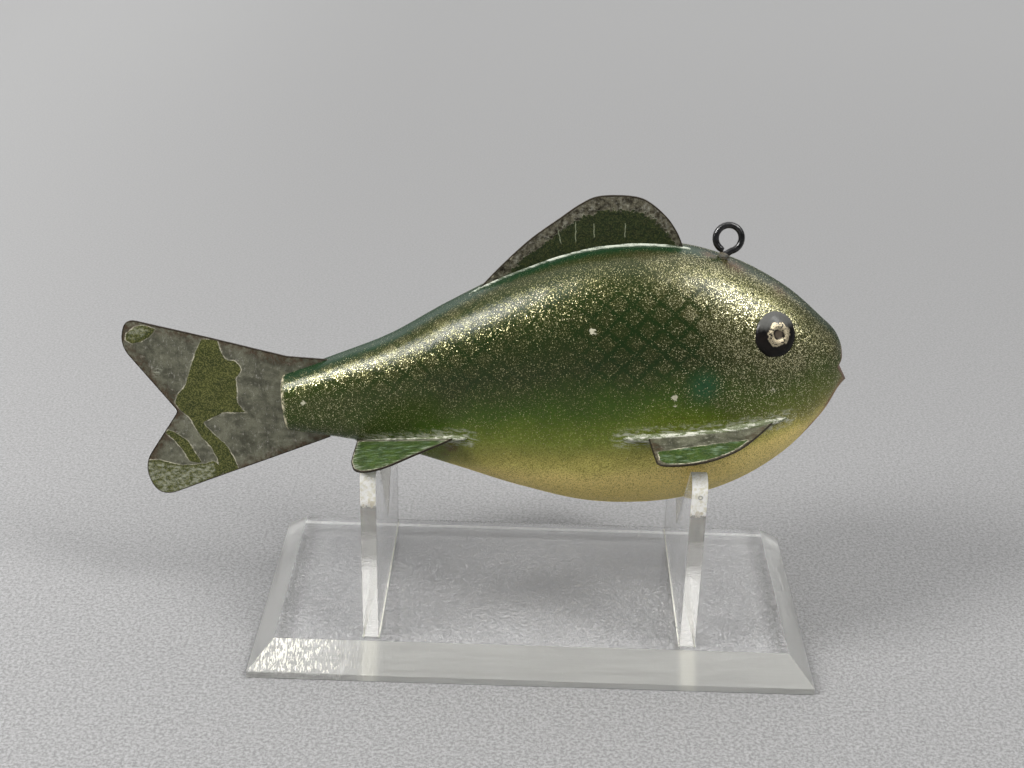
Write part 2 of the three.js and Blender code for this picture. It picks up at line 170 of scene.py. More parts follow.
def blend(share, a, b, mode="MIX"):
    item = put(treeOf(share, a, b), "ShaderNodeMix", data_type="RGBA", blend_type=mode)
    for index, value in ((0, share), (6, a), (7, b)):
        connect(item.inputs[index], value)
    return Field(item.outputs[2])


def ramp(value, stops):
    low, high = stops[0][0], stops[-1][0]
    along = put(treeOf(value), "ShaderNodeMapRange", {"Value": value, "From Min": low, "From Max": high}).outputs[0]
    item = put(treeOf(value), "ShaderNodeValToRGB", {"Fac": along})
    for where, _ in stops[1:-1]:
        item.color_ramp.elements.new((where - low) / (high - low))
    for element, (_, colour) in zip(item.color_ramp.elements, stops):
        element.color = (*colour, 1)
    return Field(item.outputs["Color"])


def profile(value, stops):  # straight lines between (value, result) stops
    low, high = min(stop[1] for stop in stops), max(stop[1] for stop in stops)
    return ramp(value, [(where, [(result - low) / (high - low)] * 3) for where, result in stops]) * (high - low) + low


def speckle(where, scale, detail=3.0, roughness=0.55, shift=(0, 0, 0), stretch=(1, 1, 1)):
    moved = put(treeOf(where), "ShaderNodeMapping", {"Vector": where, "Location": shift, "Scale": stretch}).outputs[0]
    inputs = {"Vector": moved, "Scale": scale, "Detail": detail, "Roughness": roughness}
    return Field(put(treeOf(where), "ShaderNodeTexNoise", inputs).outputs["Fac"])


def flakeCells(where, scale):  # cells, and a random colour and value for each
    cells = put(treeOf(where), "ShaderNodeTexVoronoi", {"Vector": where, "Scale": scale}).outputs
    chance = put(treeOf(where), "ShaderNodeTexWhiteNoise", {"Vector": cells["Position"]}).outputs
    return Field(cells["Distance"]), Field(chance["Color"]), Field(chance["Value"])


def nearPoint(where, point, radius, edge=0.3):
    return ease(vector("DISTANCE", where, point), radius, radius * (1 - edge))


def relief(height, strength, distance=mm):
    inputs = {"Height": height, "Strength": strength, "Distance": distance}
    return Field(put(treeOf(height), "ShaderNodeBump", inputs).outputs["Normal"])


class Finish:  # a material, its shader's values and links given by plain names
    sockets = {
        "colour": "Base Color", "metallic": "Metallic", "roughness": "Roughness", "ior": "IOR", "normal": "Normal",
        "coat": "Coat Weight", "coatRoughness": "Coat Roughness", "coatIor": "Coat IOR", "coatNormal": "Coat Normal",
        "transmission": "Transmission Weight", "specular": "Specular IOR Level",
    }

    def __init__(self, name, **values):
        self.material = bpy.data.materials.new(name)
        self.material.use_nodes = True
        self.tree = self.material.node_tree
        self.give(**values)

    def give(self, **values):
        for key, value in values.items():
            connect(self.tree.nodes["Principled BSDF"].inputs[self.sockets[key]], value)

    def places(self):  # Object coordinates, in millimetres
        return vector("SCALE", Field(put(self.tree, "ShaderNodeTexCoord").outputs["Object"]), Scale=1000.0)

    def layer(self, name):
        return Field(put(self.tree, "ShaderNodeAttribute", attribute_name=name).outputs["Fac"])


view = {
    "position": (-2.548, -348.55, 233.74), "focalPixels": 1538, "imageWidth": 1024, "sensor": 36,
    "pitch": 0.4485, "yaw": -0.0116, "roll": 0.0237,
}
camera = bpy.data.objects.new("camera", bpy.data.cameras.new("camera"))
collection.objects.link(camera)
bpy.context.scene.camera = camera
camera.data.sensor_width = view["sensor"]
camera.data.lens = view["sensor"] * view["focalPixels"] / view["imageWidth"]
camera.data.clip_start = 0.01
ahead = Vector((math.sin(view["yaw"]) * math.cos(view["pitch"]), math.cos(view["yaw"]) * math.cos(view["pitch"]),
                -math.sin(view["pitch"])))
across = Vector((math.cos(view["yaw"]), -math.sin(view["yaw"]), 0))
upward = across.cross(ahead)
acrossRolled = across * math.cos(view["roll"]) + upward * math.sin(view["roll"])
upwardRolled = upward * math.cos(view["roll"]) - across * math.sin(view["roll"])
camera.matrix_world = Matrix.Translation(Vector(view["position"]) * mm) @ Matrix(
    (acrossRolled, upwardRolled, -ahead)).transposed().to_4x4()

room = {"tint": (0.93, 0.96, 1.0), "glow": 0.225, "lampTint": (1.0, 0.99, 0.98), "aim": (0, 0, 0.06)}
lamps = {  # bearing in degrees from the camera's side towards the head, height above the floor, and radiance
    "skylight": {"bearing": 180, "height": 79, "distance": 1.8, "size": (2.8, 1.9), "glow": 1.15},
    "leftWindow": {"bearing": -66, "height": 40, "distance": 1.05, "size": (0.31, 0.42), "glow": 30.0},
    "rightWindow": {"bearing": 63, "height": 49, "distance": 2.9, "size": (0.76, 1.75), "glow": 18.0},
    "backdrop": {"bearing": 180, "height": 24, "distance": 2.6, "size": (4.4, 1.7), "glow": 0.92},
}
for name, lamp in lamps.items():
    light = bpy.data.lights.new(name, "AREA")
    light.shape = "RECTANGLE"
    light.size, light.size_y = lamp["size"]
    light.energy = lamp["glow"] * math.pi * lamp["size"][0] * lamp["size"][1]
    light.color = room["lampTint"]
    holder = bpy.data.objects.new(name, light)
    collection.objects.link(holder)
    bearing, height = math.radians(lamp["bearing"]), math.radians(lamp["height"])
    direction = Vector((math.sin(bearing) * math.cos(height), -math.cos(bearing) * math.cos(height), math.sin(height)))
    holder.location = Vector(room["aim"]) + direction * lamp["distance"]
    holder.rotation_euler = direction.to_track_quat("Z", "Y").to_euler()
    holder.visible_camera = False

world = bpy.data.worlds.new("room")
bpy.context.scene.world = world
world.use_nodes = True
background = world.node_tree.nodes["Background"].inputs
background["Color"].default_value = (*room["tint"], 1)
background["Strength"].default_value = room["glow"]
bpy.context.scene.view_settings.view_transform = "Standard"
bpy.context.scene.cycles.max_bounces = 24  # light runs far along the inside of the clear stand
bpy.context.scene.cycles.glossy_bounces = 14
bpy.context.scene.cycles.transmission_bounces = 16

floorSize = {"left": -1500, "right": 1500, "near": -900, "far": 2200, "height": -0.05}
floorShade = 0.233


def floorFinish():
    finish = Finish("paleFloor", roughness=0.75, specular=0.25)
    where = finish.places()
    x, y, _ = parts(where)
    fibre = ease(speckle(where, 1.2, 4.0, 0.8), 0.34, 0.66)
    fibre = (fibre - 0.5) * ease(y, -150, 350, 0.7, 0.12) + 1.0
    # painted light: the floor's grey is painted brighter towards the back and towards the left
    shade = fibre * floorShade * ease(y, 150, 1000, 1.0, 1.38) * ease(x, -60, -340, 1.0, 1.2)
    finish.give(colour=shade, normal=relief(fibre, 0.25, 0.3 * mm))
    return finish.material


corners = [(floorSize[side], floorSize[end], floorSize["height"]) for side, end in (
    ("left", "near"), ("right", "near"), ("right", "far"), ("left", "far"))]
floor = addPiece("floor", corners, [(0, 1, 2, 3)], [floorFinish()])
print("stage: camera, lights and floor")

body = {
    "length": 141, "height": 68.2, "thickness": 38, "backRoundness": 2.3, "bellyRoundness": 2.6,
    "rings": 300, "sides": 240, "noseRings": 90, "noseShare": 0.9, "endRings": {"tail": 9, "nose": 2},
    "rimRadius": 0.7,
    # back line's x and z, belly line's x and z, and width, as shares of the length, height and thickness
    "ribs": [
        (0.0, 0.45, 0.01, 0.24, 0.31), (0.094, 0.53, 0.103, 0.22, 0.4), (0.193, 0.62, 0.209, 0.185, 0.526),
        (0.294, 0.748, 0.315, 0.126, 0.689), (0.409, 0.877, 0.434, 0.054, 0.842), (0.541, 0.978, 0.562, 0.003, 0.963),
        (0.672, 0.999, 0.695, 0.02, 1.0), (0.781, 0.952, 0.806, 0.099, 0.926), (0.878, 0.854, 0.894, 0.221, 0.716),
        (0.947, 0.74, 0.957, 0.37, 0.458), (0.98, 0.668, 0.985, 0.476, 0.274), (0.996, 0.55, 1.0, 0.51, 0.105),
    ],
    "mouthDepth": 3.2, "upperLipBack": 2.2, "mouthRise": 5.4, "lipFaceRise": 1.6,
}
ribs = np.array(body["ribs"])
sideView = np.array([body["length"], body["height"]])


def throughPoints(points, share):  # a smooth curve through points, at shares 0 to 1 along it
    points = np.asarray(points, float)
    last = len(points) - 1
    position = np.clip(np.atleast_1d(share), 0, 1) * last
    index = np.minimum(position.astype(int), last - 1)
    w = (position - index)[:, None]
    a, b, c, d = (points[np.clip(index + step, 0, last)] for step in (-1, 0, 1, 2))
    return b + w * (c - a) / 2 + w ** 2 * (a - 2.5 * b + 2 * c - d / 2) + w ** 3 * (1.5 * (b - c) + (d - a) / 2)


def backAt(share):
    return throughPoints(ribs[:, 0:2] * sideView, share)


def bellyAt(share):
    return throughPoints(ribs[:, 2:4] * sideView, share)


def halfWidth(share):
    return throughPoints(ribs[:, 4:] * body["thickness"] / 2, share)[:, 0]


def skinRings(shares, angles):
    back, belly = backAt(shares)[:, None], bellyAt(shares)[:, None]
    up, out = np.cos(angles)[None], np.sin(angles)[None]
    power = 2 / np.where(up > 0, body["backRoundness"], body["bellyRoundness"])
    rise = (0.5 + 0.5 * np.sign(up) * np.abs(up) ** power)[..., None]
    line = belly + (back - belly) * rise
    spread = np.sign(out) * np.abs(out) ** power * halfWidth(shares)[:, None]
    return np.stack([line[..., 0], spread, line[..., 1]], axis=-1)


def skinHalfWidth(x, z):  # the body's half width at a place in its side view
    rear, front = 0.0, 1.0
    for _ in range(30):
        middle = (rear + front) / 2
        back, belly = backAt(middle)[0], bellyAt(middle)[0]
        if (x - belly[0]) * (back[1] - belly[1]) > (z - belly[1]) * (back[0] - belly[0]):
            rear = middle
        else:
            front = middle
    back, belly = backAt(rear)[0], bellyAt(rear)[0]
    level = 2 * (z - belly[1]) / (back[1] - belly[1]) - 1
    roundness = body["backRoundness"] if level > 0 else body["bellyRoundness"]
    return halfWidth(rear)[0] * max(0.0, 1 - abs(level) ** roundness) ** (1 / roundness)


def carveBody():
    sides, nose, noseRings = body["sides"], body["noseShare"], body["noseRings"]
    shares = np.concatenate([np.linspace(0, nose, body["rings"] - noseRings, endpoint=False),
                             np.linspace(nose, 1, noseRings)])
    angles = 2 * np.pi * np.arange(sides) / sides
    skin = skinRings(shares, angles)
    # how far each place is round the rib from the widest line, from the back and from the keel
    steps = np.linalg.norm(np.diff(skin, axis=1), axis=2)
    run = np.concatenate([np.zeros((len(shares), 1)), np.cumsum(steps, 1)], 1)
    total = run[:, -1:] + np.linalg.norm(skin[:, :1] - skin[:, -1:], axis=2)
    fromRidge = np.minimum(run, total - run)
    around = fromRidge[:, sides // 4][:, None] - fromRidge
    fromKeel = total / 2 - fromRidge
    # rounded rim at the tail end
    radius = body["rimRadius"]
    middle = (skin[:, 0] + skin[:, sides // 2])[:, None] / 2
    reach = np.linalg.norm(skin - middle, axis=2, keepdims=True)
    depth = np.clip(radius - (skin[..., :1] - skin[:1, :, :1]), 0, radius)
    inset = radius - np.sqrt(np.maximum(radius ** 2 - depth ** 2, 0))
    skin = middle + (skin - middle) * (1 - inset / reach)
    # the mouth: everything ahead of the lip's face and above the lower jaw is cut back
    tip = ribs[-1, 2:4] * sideView
    corner = tip + [-body["mouthDepth"], body["mouthRise"]]
    lip = tip[0] - body["upperLipBack"]
    limit = np.interp(skin[..., 2], [tip[1], corner[1], corner[1] + body["lipFaceRise"]], [tip[0], corner[0], lip])
    cut = (skin[..., 2] > tip[1]) & (skin[..., 0] > limit)
    farAway, inward = 9.0, -4.0  # what the layers say below the mouth and in the middle of the tail end
    mouthEdge = np.where(skin[..., 2] > tip[1], limit - skin[..., 0], farAway)
    skin[..., 0] = np.where(cut, limit, skin[..., 0])
    points = [skin.reshape(-1, 3)]
    layers = {"around": around, "fromRidge": fromRidge, "fromKeel": fromKeel, "fromMouth": mouthEdge,
              "fromTailEnd": skin[..., 0] - skin[:1, :, 0]}
    layers = {name: [values.reshape(-1)] for name, values in layers.items()}
    faces = []
    for ring in range(len(shares) - 1):
        first = ring * sides
        for side in range(sides):
            beside = (side + 1) % sides
            faces.append((first + side, first + sides + side, first + sides + beside, first + beside))
    count = skin.shape[0] * sides
    # both ends are closed by smaller and smaller rings
    for ring, inner in ((0, body["endRings"]["tail"]), (len(shares) - 1, body["endRings"]["nose"])):
        edge = ring * sides
        centre = skin[ring].mean(axis=0)
        previous = np.arange(edge, edge + sides)
        for step in range(1, inner + 1):
            share = step / (inner + 1)
            points.append(centre + (skin[ring] - centre) * (1 - share))
            for name, values in layers.items():
                flat = values[0][edge:edge + sides]
                values.append(np.full(sides, share * inward) if name == "fromTailEnd" and ring == 0 else flat)
            here = np.arange(count, count + sides)
            for side in range(sides):
                beside = (side + 1) % sides
                quad = (previous[side], previous[beside], here[beside], here[side])
                faces.append(quad if ring == 0 else quad[::-1])
            previous, count = here, count + sides
        points.append(centre[None])
        for name, values in layers.items():
            values.append([inward] if name == "fromTailEnd" and ring == 0 else [values[-1][0]])
        for side in range(sides):
            triangle = (previous[side], previous[(side + 1) % sides], count)
            faces.append(triangle if ring == 0 else triangle[::-1])
        count += 1
    faces = [tuple(int(corner) for corner in face) for face in faces]
    return np.concatenate(points) + offset, faces, {name: np.concatenate(values) for name, values in layers.items()}


bodyPaint = {
    # from the keel to the dark green, as shares of the way between tanEnds and darkStarts
    "bands": [(0, (0.74, 0.585, 0.20)), (0.17, (0.50, 0.44, 0.12)), (0.34, (0.25, 0.245, 0.055)),
              (0.51, (0.125, 0.165, 0.022)), (0.68, (0.068, 0.108, 0.009)), (0.85, (0.034, 0.072, 0.005)),
              (1.3, (0.0070, 0.020, 0.0025))],
    # along the fish: how high round the flank, from its widest line, the tan ends and the dark green and flakes start
    "tanEnds": [(-60, -60), (-30, -45), (-21, -22), (-14, -21), (20, -22), (36, -19), (46, -18), (55, -15.5),
                (64, -12.5), (70, -9.5), (76, -6)],
    "darkStarts": [(-60, -4.5), (-40, -5), (-24, -1.5), (-9, 0.5), (5, 1.5), (19, 3), (29, 4.5), (43, 3), (53, 4),
                   (64, 5), (76, 6)],
    "flakesStart": [(-60, -12), (-40, -9), (-24, -5), (-9, -1), (5, 0.5), (19, 2), (29, 3), (43, -2), (53, -9),
                    (64, -9), (76, -6)],
    "flakesFull": [(-60, 8), (-42, 9), (-30, 13), (-10, 38), (5, 56), (22, 40), (36, 22), (48, 10), (60, 6), (76, 8)],
    # how thick the flakes lie between those two, and how much brighter or duller their tints are along the fish:
    # brighter at the head, a painted highlight, and duller mid-body, painted shade
    "flakeSpread": [(-0.2, 0.02), (0, 0.16), (0.12, 0.36), (0.5, 0.42), (0.8, 0.60), (1, 1)],
    "paintedFlakeLight": [(-64, 0.02), (-46, -0.02), (-24, -0.10), (20, -0.10), (32, 0.06), (44, 0.17), (64, 0.17),
                   (76, 0.10)],
    "flakeTints": [(0, (0.07, 0.07, 0.03)), (0.55, (0.17, 0.168, 0.070)), (0.82, (0.47, 0.44, 0.23)),
                   (1, (0.98, 0.92, 0.58))],
    # the head is darkened towards the nose: partly its browner paint, partly painted shade
    "flakes": 5.6, "flakeShare": 0.62, "flakeTilt": 0.36, "paintedHeadShade": [(56, 1), (63, 1), (69, 0.88), (76, 0.66)],
    "emerald": (0.005, 0.028, 0.010), "teal": (0.010, 0.064, 0.026), "tealSpot": (39.5, -18.5, 75.6),
    "haze": (0.060, 0.057, 0.019), "cord": (0.004, 0.018, 0.003), "smear": (0.42, 0.43, 0.35),
    "bareWood": (0.165, 0.046, 0.016), "paleWood": (0.52, 0.47, 0.33), "mouthWood": (0.12, 0.062, 0.04),
    "brown": (0.09, 0.045, 0.02), "speck": (0.45, 0.43, 0.32), "dust": (0.13, 0.12, 0.02),
    "darkDot": (0.085, 0.085, 0.012), "lightDot": (0.32, 0.33, 0.11),
    # how far round from the keel the paint is worn off the jaw
    "wornJaw": [(61, 6.3), (65, 9.0), (70.5, 9.2), (72.5, 8.7), (74.3, 7.4), (76.3, 5.4)],
    # the net's two sets of cords: where each starts, and how close together they lie along the fish and round it
    "netCords": [(-8.1845, 0.1485, 0.178), (-1.1547, 0.1564, -0.1475)],
    "specks": [((32.5, -19.0, 72.6), 0.9), ((32.7, -19.0, 70.6), 0.5), ((12.4, -16.0, 88.0), 0.8),
               ((-58.4, -6.5, 62.2), 0.55), ((56.3, -15.1, 73.6), 0.5), ((-50, -6, 54), 0.35)],
    "brownPatches": [((46.1, -2.8, 100.4), 5.0), ((56.5, -3.5, 93.5), 4.5), ((40, -1, 102.5), 3),
                     ((-21.2, -11.8, 53.7), 2.6), ((-22.5, -9.5, 51.5), 2.0)],
}


def paintBody():
    paint = Finish("flakePaint", coat=0.85, coatRoughness=0.18, coatIor=1.35, specular=0.0)
    where = paint.places()
    x = parts(where)[0]
    around, ridge, keel, tailEnd, mouth, root = (paint.layer(name) for name in (
        "around", "fromRidge", "fromKeel", "fromTailEnd", "fromMouth", "fromRoot"))
    grain, coarse = speckle(where, 3.2, 3.0, 0.75), speckle(where, 0.9, 4.0, 0.6)
    distance, tone, chance = flakeCells(where, bodyPaint["flakes"])
    dots = parts(tone, "ShaderNodeSeparateColor")
    # colour bands from the belly to the back
    height = around + (speckle(where, 0.08, 4.0) * 7.0 - 3.5) + (grain * 5.0 - 2.5)
    tanEnds = profile(x, bodyPaint["tanEnds"])
    level = (height - tanEnds) / (profile(x, bodyPaint["darkStarts"]) - tanEnds)
    dust = ease(grain, 0.50, 0.64) * ease(keel, 4, 14, 0.25, 0.6) * ease(level, 0.9, 0.5)
    bands = blend(dust, ramp(level, bodyPaint["bands"]), bodyPaint["dust"])
    dark = dots[2] < ease(level, -0.3, 0.6, 0.12, 0.34)
    bands = blend(dark * ease(level, 1.1, 0.5, 0, 0.55), bands, bodyPaint["darkDot"])
    light = dots[0] < ease(abs(level - 0.7), 0.5, 0.1, 0, 0.09)
    bands = blend(light * 0.6, bands, bodyPaint["lightDot"])
    bandEdge = ridge + (coarse * 3.0 - 1.5)
    colour = blend(ease(bandEdge, 5.2, 2.4) * ease(x, 48, 32), bands, bodyPaint["emerald"])
    teal = nearPoint(where, bodyPaint["tealSpot"], 6.5, 0.9)
    colour = blend(teal * 0.8, colour, bodyPaint["teal"])
    # scales: gold flake blown through a net
    waves = [calc("COSINE", (x * alongX + (around * alongRib + start)) * math.pi)
             for start, alongX, alongRib in bodyPaint["netCords"]]
    cell = ease(calc("MINIMUM", *(wave * wave for wave in waves)), 0.0, 0.34)
    netted = ease(x, 44, 36) * (ease(around, 0, 8) * ease(around, 32, 24, 0.3))
    netted = netted * largest(ease(x, 0, 20, 0.35, 1.0), ease(x, 2, -18, 0.35, 0.7))
    cord = netted * (1.0 - cell) * ease(coarse, 0.25, 0.6, 0.5, 1.0)
    # flakes, and the finer metal powder between them
    start = profile(x, bodyPaint["flakesStart"])
    spread = (height - start) / (profile(x, bodyPaint["flakesFull"]) - start)
    held = ease(bandEdge, 1.8, 5.2, 0.10, 1) * (cord * -0.82 + 1.0)
    held = held * ease(speckle(where, 0.16, 3.0), 0.3, 0.7, 0.8, 1.2) * ease(teal, 0, 1, 1.0, 0.35)
    spread = profile(spread, bodyPaint["flakeSpread"]) * held
    shown = (chance < spread * bodyPaint["flakeShare"]) * ease(distance, 0.66, 0.5)
    # flake tints lifted at the head, a painted highlight, and dulled mid-body, painted shade
    tint = ramp(dots[1] + profile(x, bodyPaint["paintedFlakeLight"]), bodyPaint["flakeTints"])
    powder = spread * ease(grain, 0.35, 0.65, 0.5, 1.0)
    # marks of age
    smear = ease(speckle(where, 0.8, 5.0, 0.75, stretch=(0.4, 1.3, 1.6)), 0.44, 0.60)
    smear = smear * ease(root + (coarse * 4.0 - 2.0), 3.6, 0.8, 0, 0.85)
    wood = ease(coarse * 1.6 + (keel - profile(x, bodyPaint["wornJaw"]) - 0.8), 0.6, -1.6)
    wood = wood * ease(speckle(where, 0.22, 3.0, 0.6), 0.35, 0.6, 0.5, 1.0) * ease(x, 61, 69, 0, 0.95)
    rim = ease(abs(tailEnd - 0.25), 0.75, 0.15) * ease(coarse, 0.40, 0.56)
    lips = ease(mouth, 0.7, 0.1) * ease(coarse, 0.3, 0.5, 0.4, 0.9)
    jitter = Field(put(paint.tree, "ShaderNodeTexNoise", {"Vector": where, "Scale": 1.3}).outputs["Color"])
    bent = vector("MULTIPLY_ADD", vector("SUBTRACT", jitter, (0.5, 0.5, 0.5)), (2.4, 2.4, 2.4), where)
    specks = largest(*(nearPoint(bent, *speck) for speck in bodyPaint["specks"]))
    brown = largest(*(nearPoint(bent, *patch, 0.9) for patch in bodyPaint["brownPatches"])) * ease(grain, 0.38, 0.58)
    left = calc("SUBTRACT", 1.0, largest(wood, rim, brown, specks, smear, lips), clamp=True)
    shown, powder = shown * left, powder * left
    for share, shade in ((cord * 0.4, "cord"), (powder * 0.85, "haze"), (smear, "smear"), (wood, "bareWood"),
                         (rim, "paleWood"), (lips, "mouthWood"), (brown, "brown")):
        colour = blend(share, colour, bodyPaint[shade])
    colour = blend(specks, blend(shown, colour, tint), bodyPaint["speck"])
    # darker towards the nose: partly browner paint, partly painted shade
    colour = blend(1.0, colour, profile(x, bodyPaint["paintedHeadShade"]), "MULTIPLY")
    # each flake lies at its own tilt, under a clear coat that follows the carving and shines less edge on
    tilt = vector("SCALE", vector("SUBTRACT", tone, (0.5, 0.5, 0.5)), Scale=bodyPaint["flakeTilt"])
    facing = Field(put(paint.tree, "ShaderNodeNewGeometry").outputs["Normal"])
    edgeOn = Field(put(paint.tree, "ShaderNodeLayerWeight", {"Blend": 0.5}).outputs["Facing"])
    swell = grain * 0.15 + (coarse * 0.10 + speckle(where, 0.11, 2.0))
    paint.give(colour=colour, metallic=largest(shown, powder * 0.85), roughness=ease(shown, 0, 1, 0.56, 0.36),
               normal=vector("NORMALIZE", vector("ADD", facing, tilt)), coatNormal=relief(swell, 0.32),
               coat=ease(edgeOn, 0.5, 0.95, 0.95, 0.3))
    return paint.material


points, faces, layers = carveBody()
woodBody = addPiece("carvedBody", points, faces, [paintBody()], sharp=50, layers=layers)
skinPoints = np.stack([points[:, 0], -np.abs(points[:, 1]), points[:, 2]], 1) - offset
keep(woodBody, "painted_wood", "body")
print("body:", len(faces), "faces")

sheet = {"thickness": 0.5, "edge": 0.1, "tangDepth": 3.5, "tangSlant": 7, "grid": 0.6}


def roundCorner(before, corner, after, distance):
    before, corner, after = (np.array(point, float) for point in (before, corner, after))
    start = corner + (before - corner) * distance / np.linalg.norm(before - corner)
    end = corner + (after - corner) * distance / np.linalg.norm(after - corner)
    s = np.linspace(0, 1, 9)[:, None]
    first, second = (start + 2 * corner) / 3, (end + 2 * corner) / 3
    return (1 - s) ** 3 * start + 3 * (1 - s) ** 2 * s * first + 3 * (1 - s) * s ** 2 * second + s ** 3 * end


def evenly(outline, step):  # a closed outline with a point at every corner and at least one each step
    points = []
    for start, end in zip(outline, np.roll(outline, -1, axis=0)):
        pieces = max(1, math.ceil(np.linalg.norm(end - start) / step))
        if np.linalg.norm(end - start) > 1e-6:
            points.extend(start + (end - start) * part / pieces for part in range(pieces))
    return np.array(points)


def fromLine(points, line, closed=True):  # how far each point is from a line through other points
    ends = np.roll(line, -1, axis=0) if closed else line[1:]
    starts = line if closed else line[:-1]
    nearest = np.full(len(points), 1e9)
    for start, end in zip(starts, ends):
        along = end - start
        share = np.clip(((points - start) @ along) / max(along @ along, 1e-12), 0, 1)
        nearest = np.minimum(nearest, np.linalg.norm(points - start - share[:, None] * along, axis=1))
    return nearest


def inside(points, outline):
    x, y = points[:, 0], points[:, 1]
    odd = np.zeros(len(points), bool)
    for (x0, y0), (x1, y1) in zip(outline, np.roll(outline, -1, axis=0)):
        if y0 != y1:
            odd ^= ((y0 > y) != (y1 > y)) & (x < (x1 - x0) * (y - y0) / (y1 - y0) + x0)
    return odd


def island(points, outline):  # distance from an island's edge, positive inside it
    outline = np.array(outline, float)
    away = fromLine(points, outline)
    return np.where(inside(points, outline), away, -away)


def cutSheet(outline):  # a sheet's flat net: its rim, its inner points and the faces between them
    outline = evenly(np.asarray(outline, float), 0.45)
    if np.sum(outline[:, 0] * np.roll(outline[:, 1], -1) - np.roll(outline[:, 0], -1) * outline[:, 1]) < 0:
        outline = outline[::-1]
    along = np.roll(outline, -1, axis=0) - np.roll(outline, 1, axis=0)
    outward = np.stack([along[:, 1], -along[:, 0]], 1) / np.linalg.norm(along, axis=1)[:, None]
    rim = outline - outward * sheet["edge"]
    low, high = outline.min(0), outline.max(0)
    across, up = np.meshgrid(np.arange(low[0], high[0], sheet["grid"]), np.arange(low[1], high[1], sheet["grid"]))
    across = across + (np.arange(across.shape[0]) % 2)[:, None] * sheet["grid"] / 2
    inner = np.stack([across.ravel(), up.ravel()], 1)
    inner = inner[inside(inner, rim)]
    inner = inner[fromLine(inner, rim) > 0.5 * sheet["grid"]]
    loop = [(step, (step + 1) % len(rim)) for step in range(len(rim))]
    flat = [Vector(point) for point in np.concatenate([rim, inner])]
    points, _, faces, _, _, _ = geometry.delaunay_2d_cdt(flat, loop, [], 1, 1e-6, False)
    points = np.array([tuple(point) for point in points])
    kept = inside(np.array([points[face].mean(0) for face in faces]), rim)
    return outline, points, [face for face, within in zip(faces, kept) if within]


def sheetPiece(name, outline, lay, finish, node, slot, islands=(), bow=None):
    outline, flat, faces = cutSheet(outline)
    count, rimCount, half = len(flat), len(outline), sheet["thickness"] / 2
    flatAll = np.concatenate([flat, outline, outline, flat])
    height = np.concatenate([np.full(count, half), np.full(rimCount, half - sheet["edge"]),
                             np.full(rimCount, sheet["edge"] - half), np.full(count, -half)])
    allFaces = [tuple(face) for face in faces]
    rings = [range(rimCount), range(count, count + rimCount), range(count + rimCount, count + 2 * rimCount),
             range(count + 2 * rimCount, count + 3 * rimCount)]
    for upper, lower in zip(rings, rings[1:]):
        for step in range(rimCount):
            beside = (step + 1) % rimCount
            allFaces.append((upper[step], lower[step], lower[beside], upper[beside]))
    allFaces += [tuple(corner + count + 2 * rimCount for corner in reversed(face)) for face in faces]
    layers = {"fromRim": fromLine(flatAll, outline)}
    for layer, shapes in islands:
        layers[layer] = np.max([island(flatAll, shape) for shape in shapes], axis=0)
    lift = height + (bow(flatAll) if bow else 0)
    piece = addPiece(name, lay(flatAll, lift) + offset, allFaces, [finish], layers=layers)
    outward = Vector(lay(flat[:1], np.ones(1))[0] - lay(flat[:1], np.zeros(1))[0])
    if piece.data.polygons[0].normal.dot(outward) < 0:
        piece.data.flip_normals()
    keep(piece, slot, node)


def standing(flat, lift):  # a sheet in the fish's middle plane
    return np.stack([flat[:, 0], -lift, flat[:, 1]], 1)


sheetMarks = {  # colours that all the fins share
    "bloom": (0.44, 0.43, 0.34), "pit": (0.05, 0.045, 0.035), "scratch": (0.42, 0.41, 0.36),
    "flake": (0.30, 0.29, 0.10), "streak": (0.20, 0.27, 0.19), "line": (0.24, 0.26, 0.17),
    "scraped": (0.45, 0.46, 0.36), "lip": (0.50, 0.47, 0.36), "rim": (0.030, 0.024, 0.016),
}


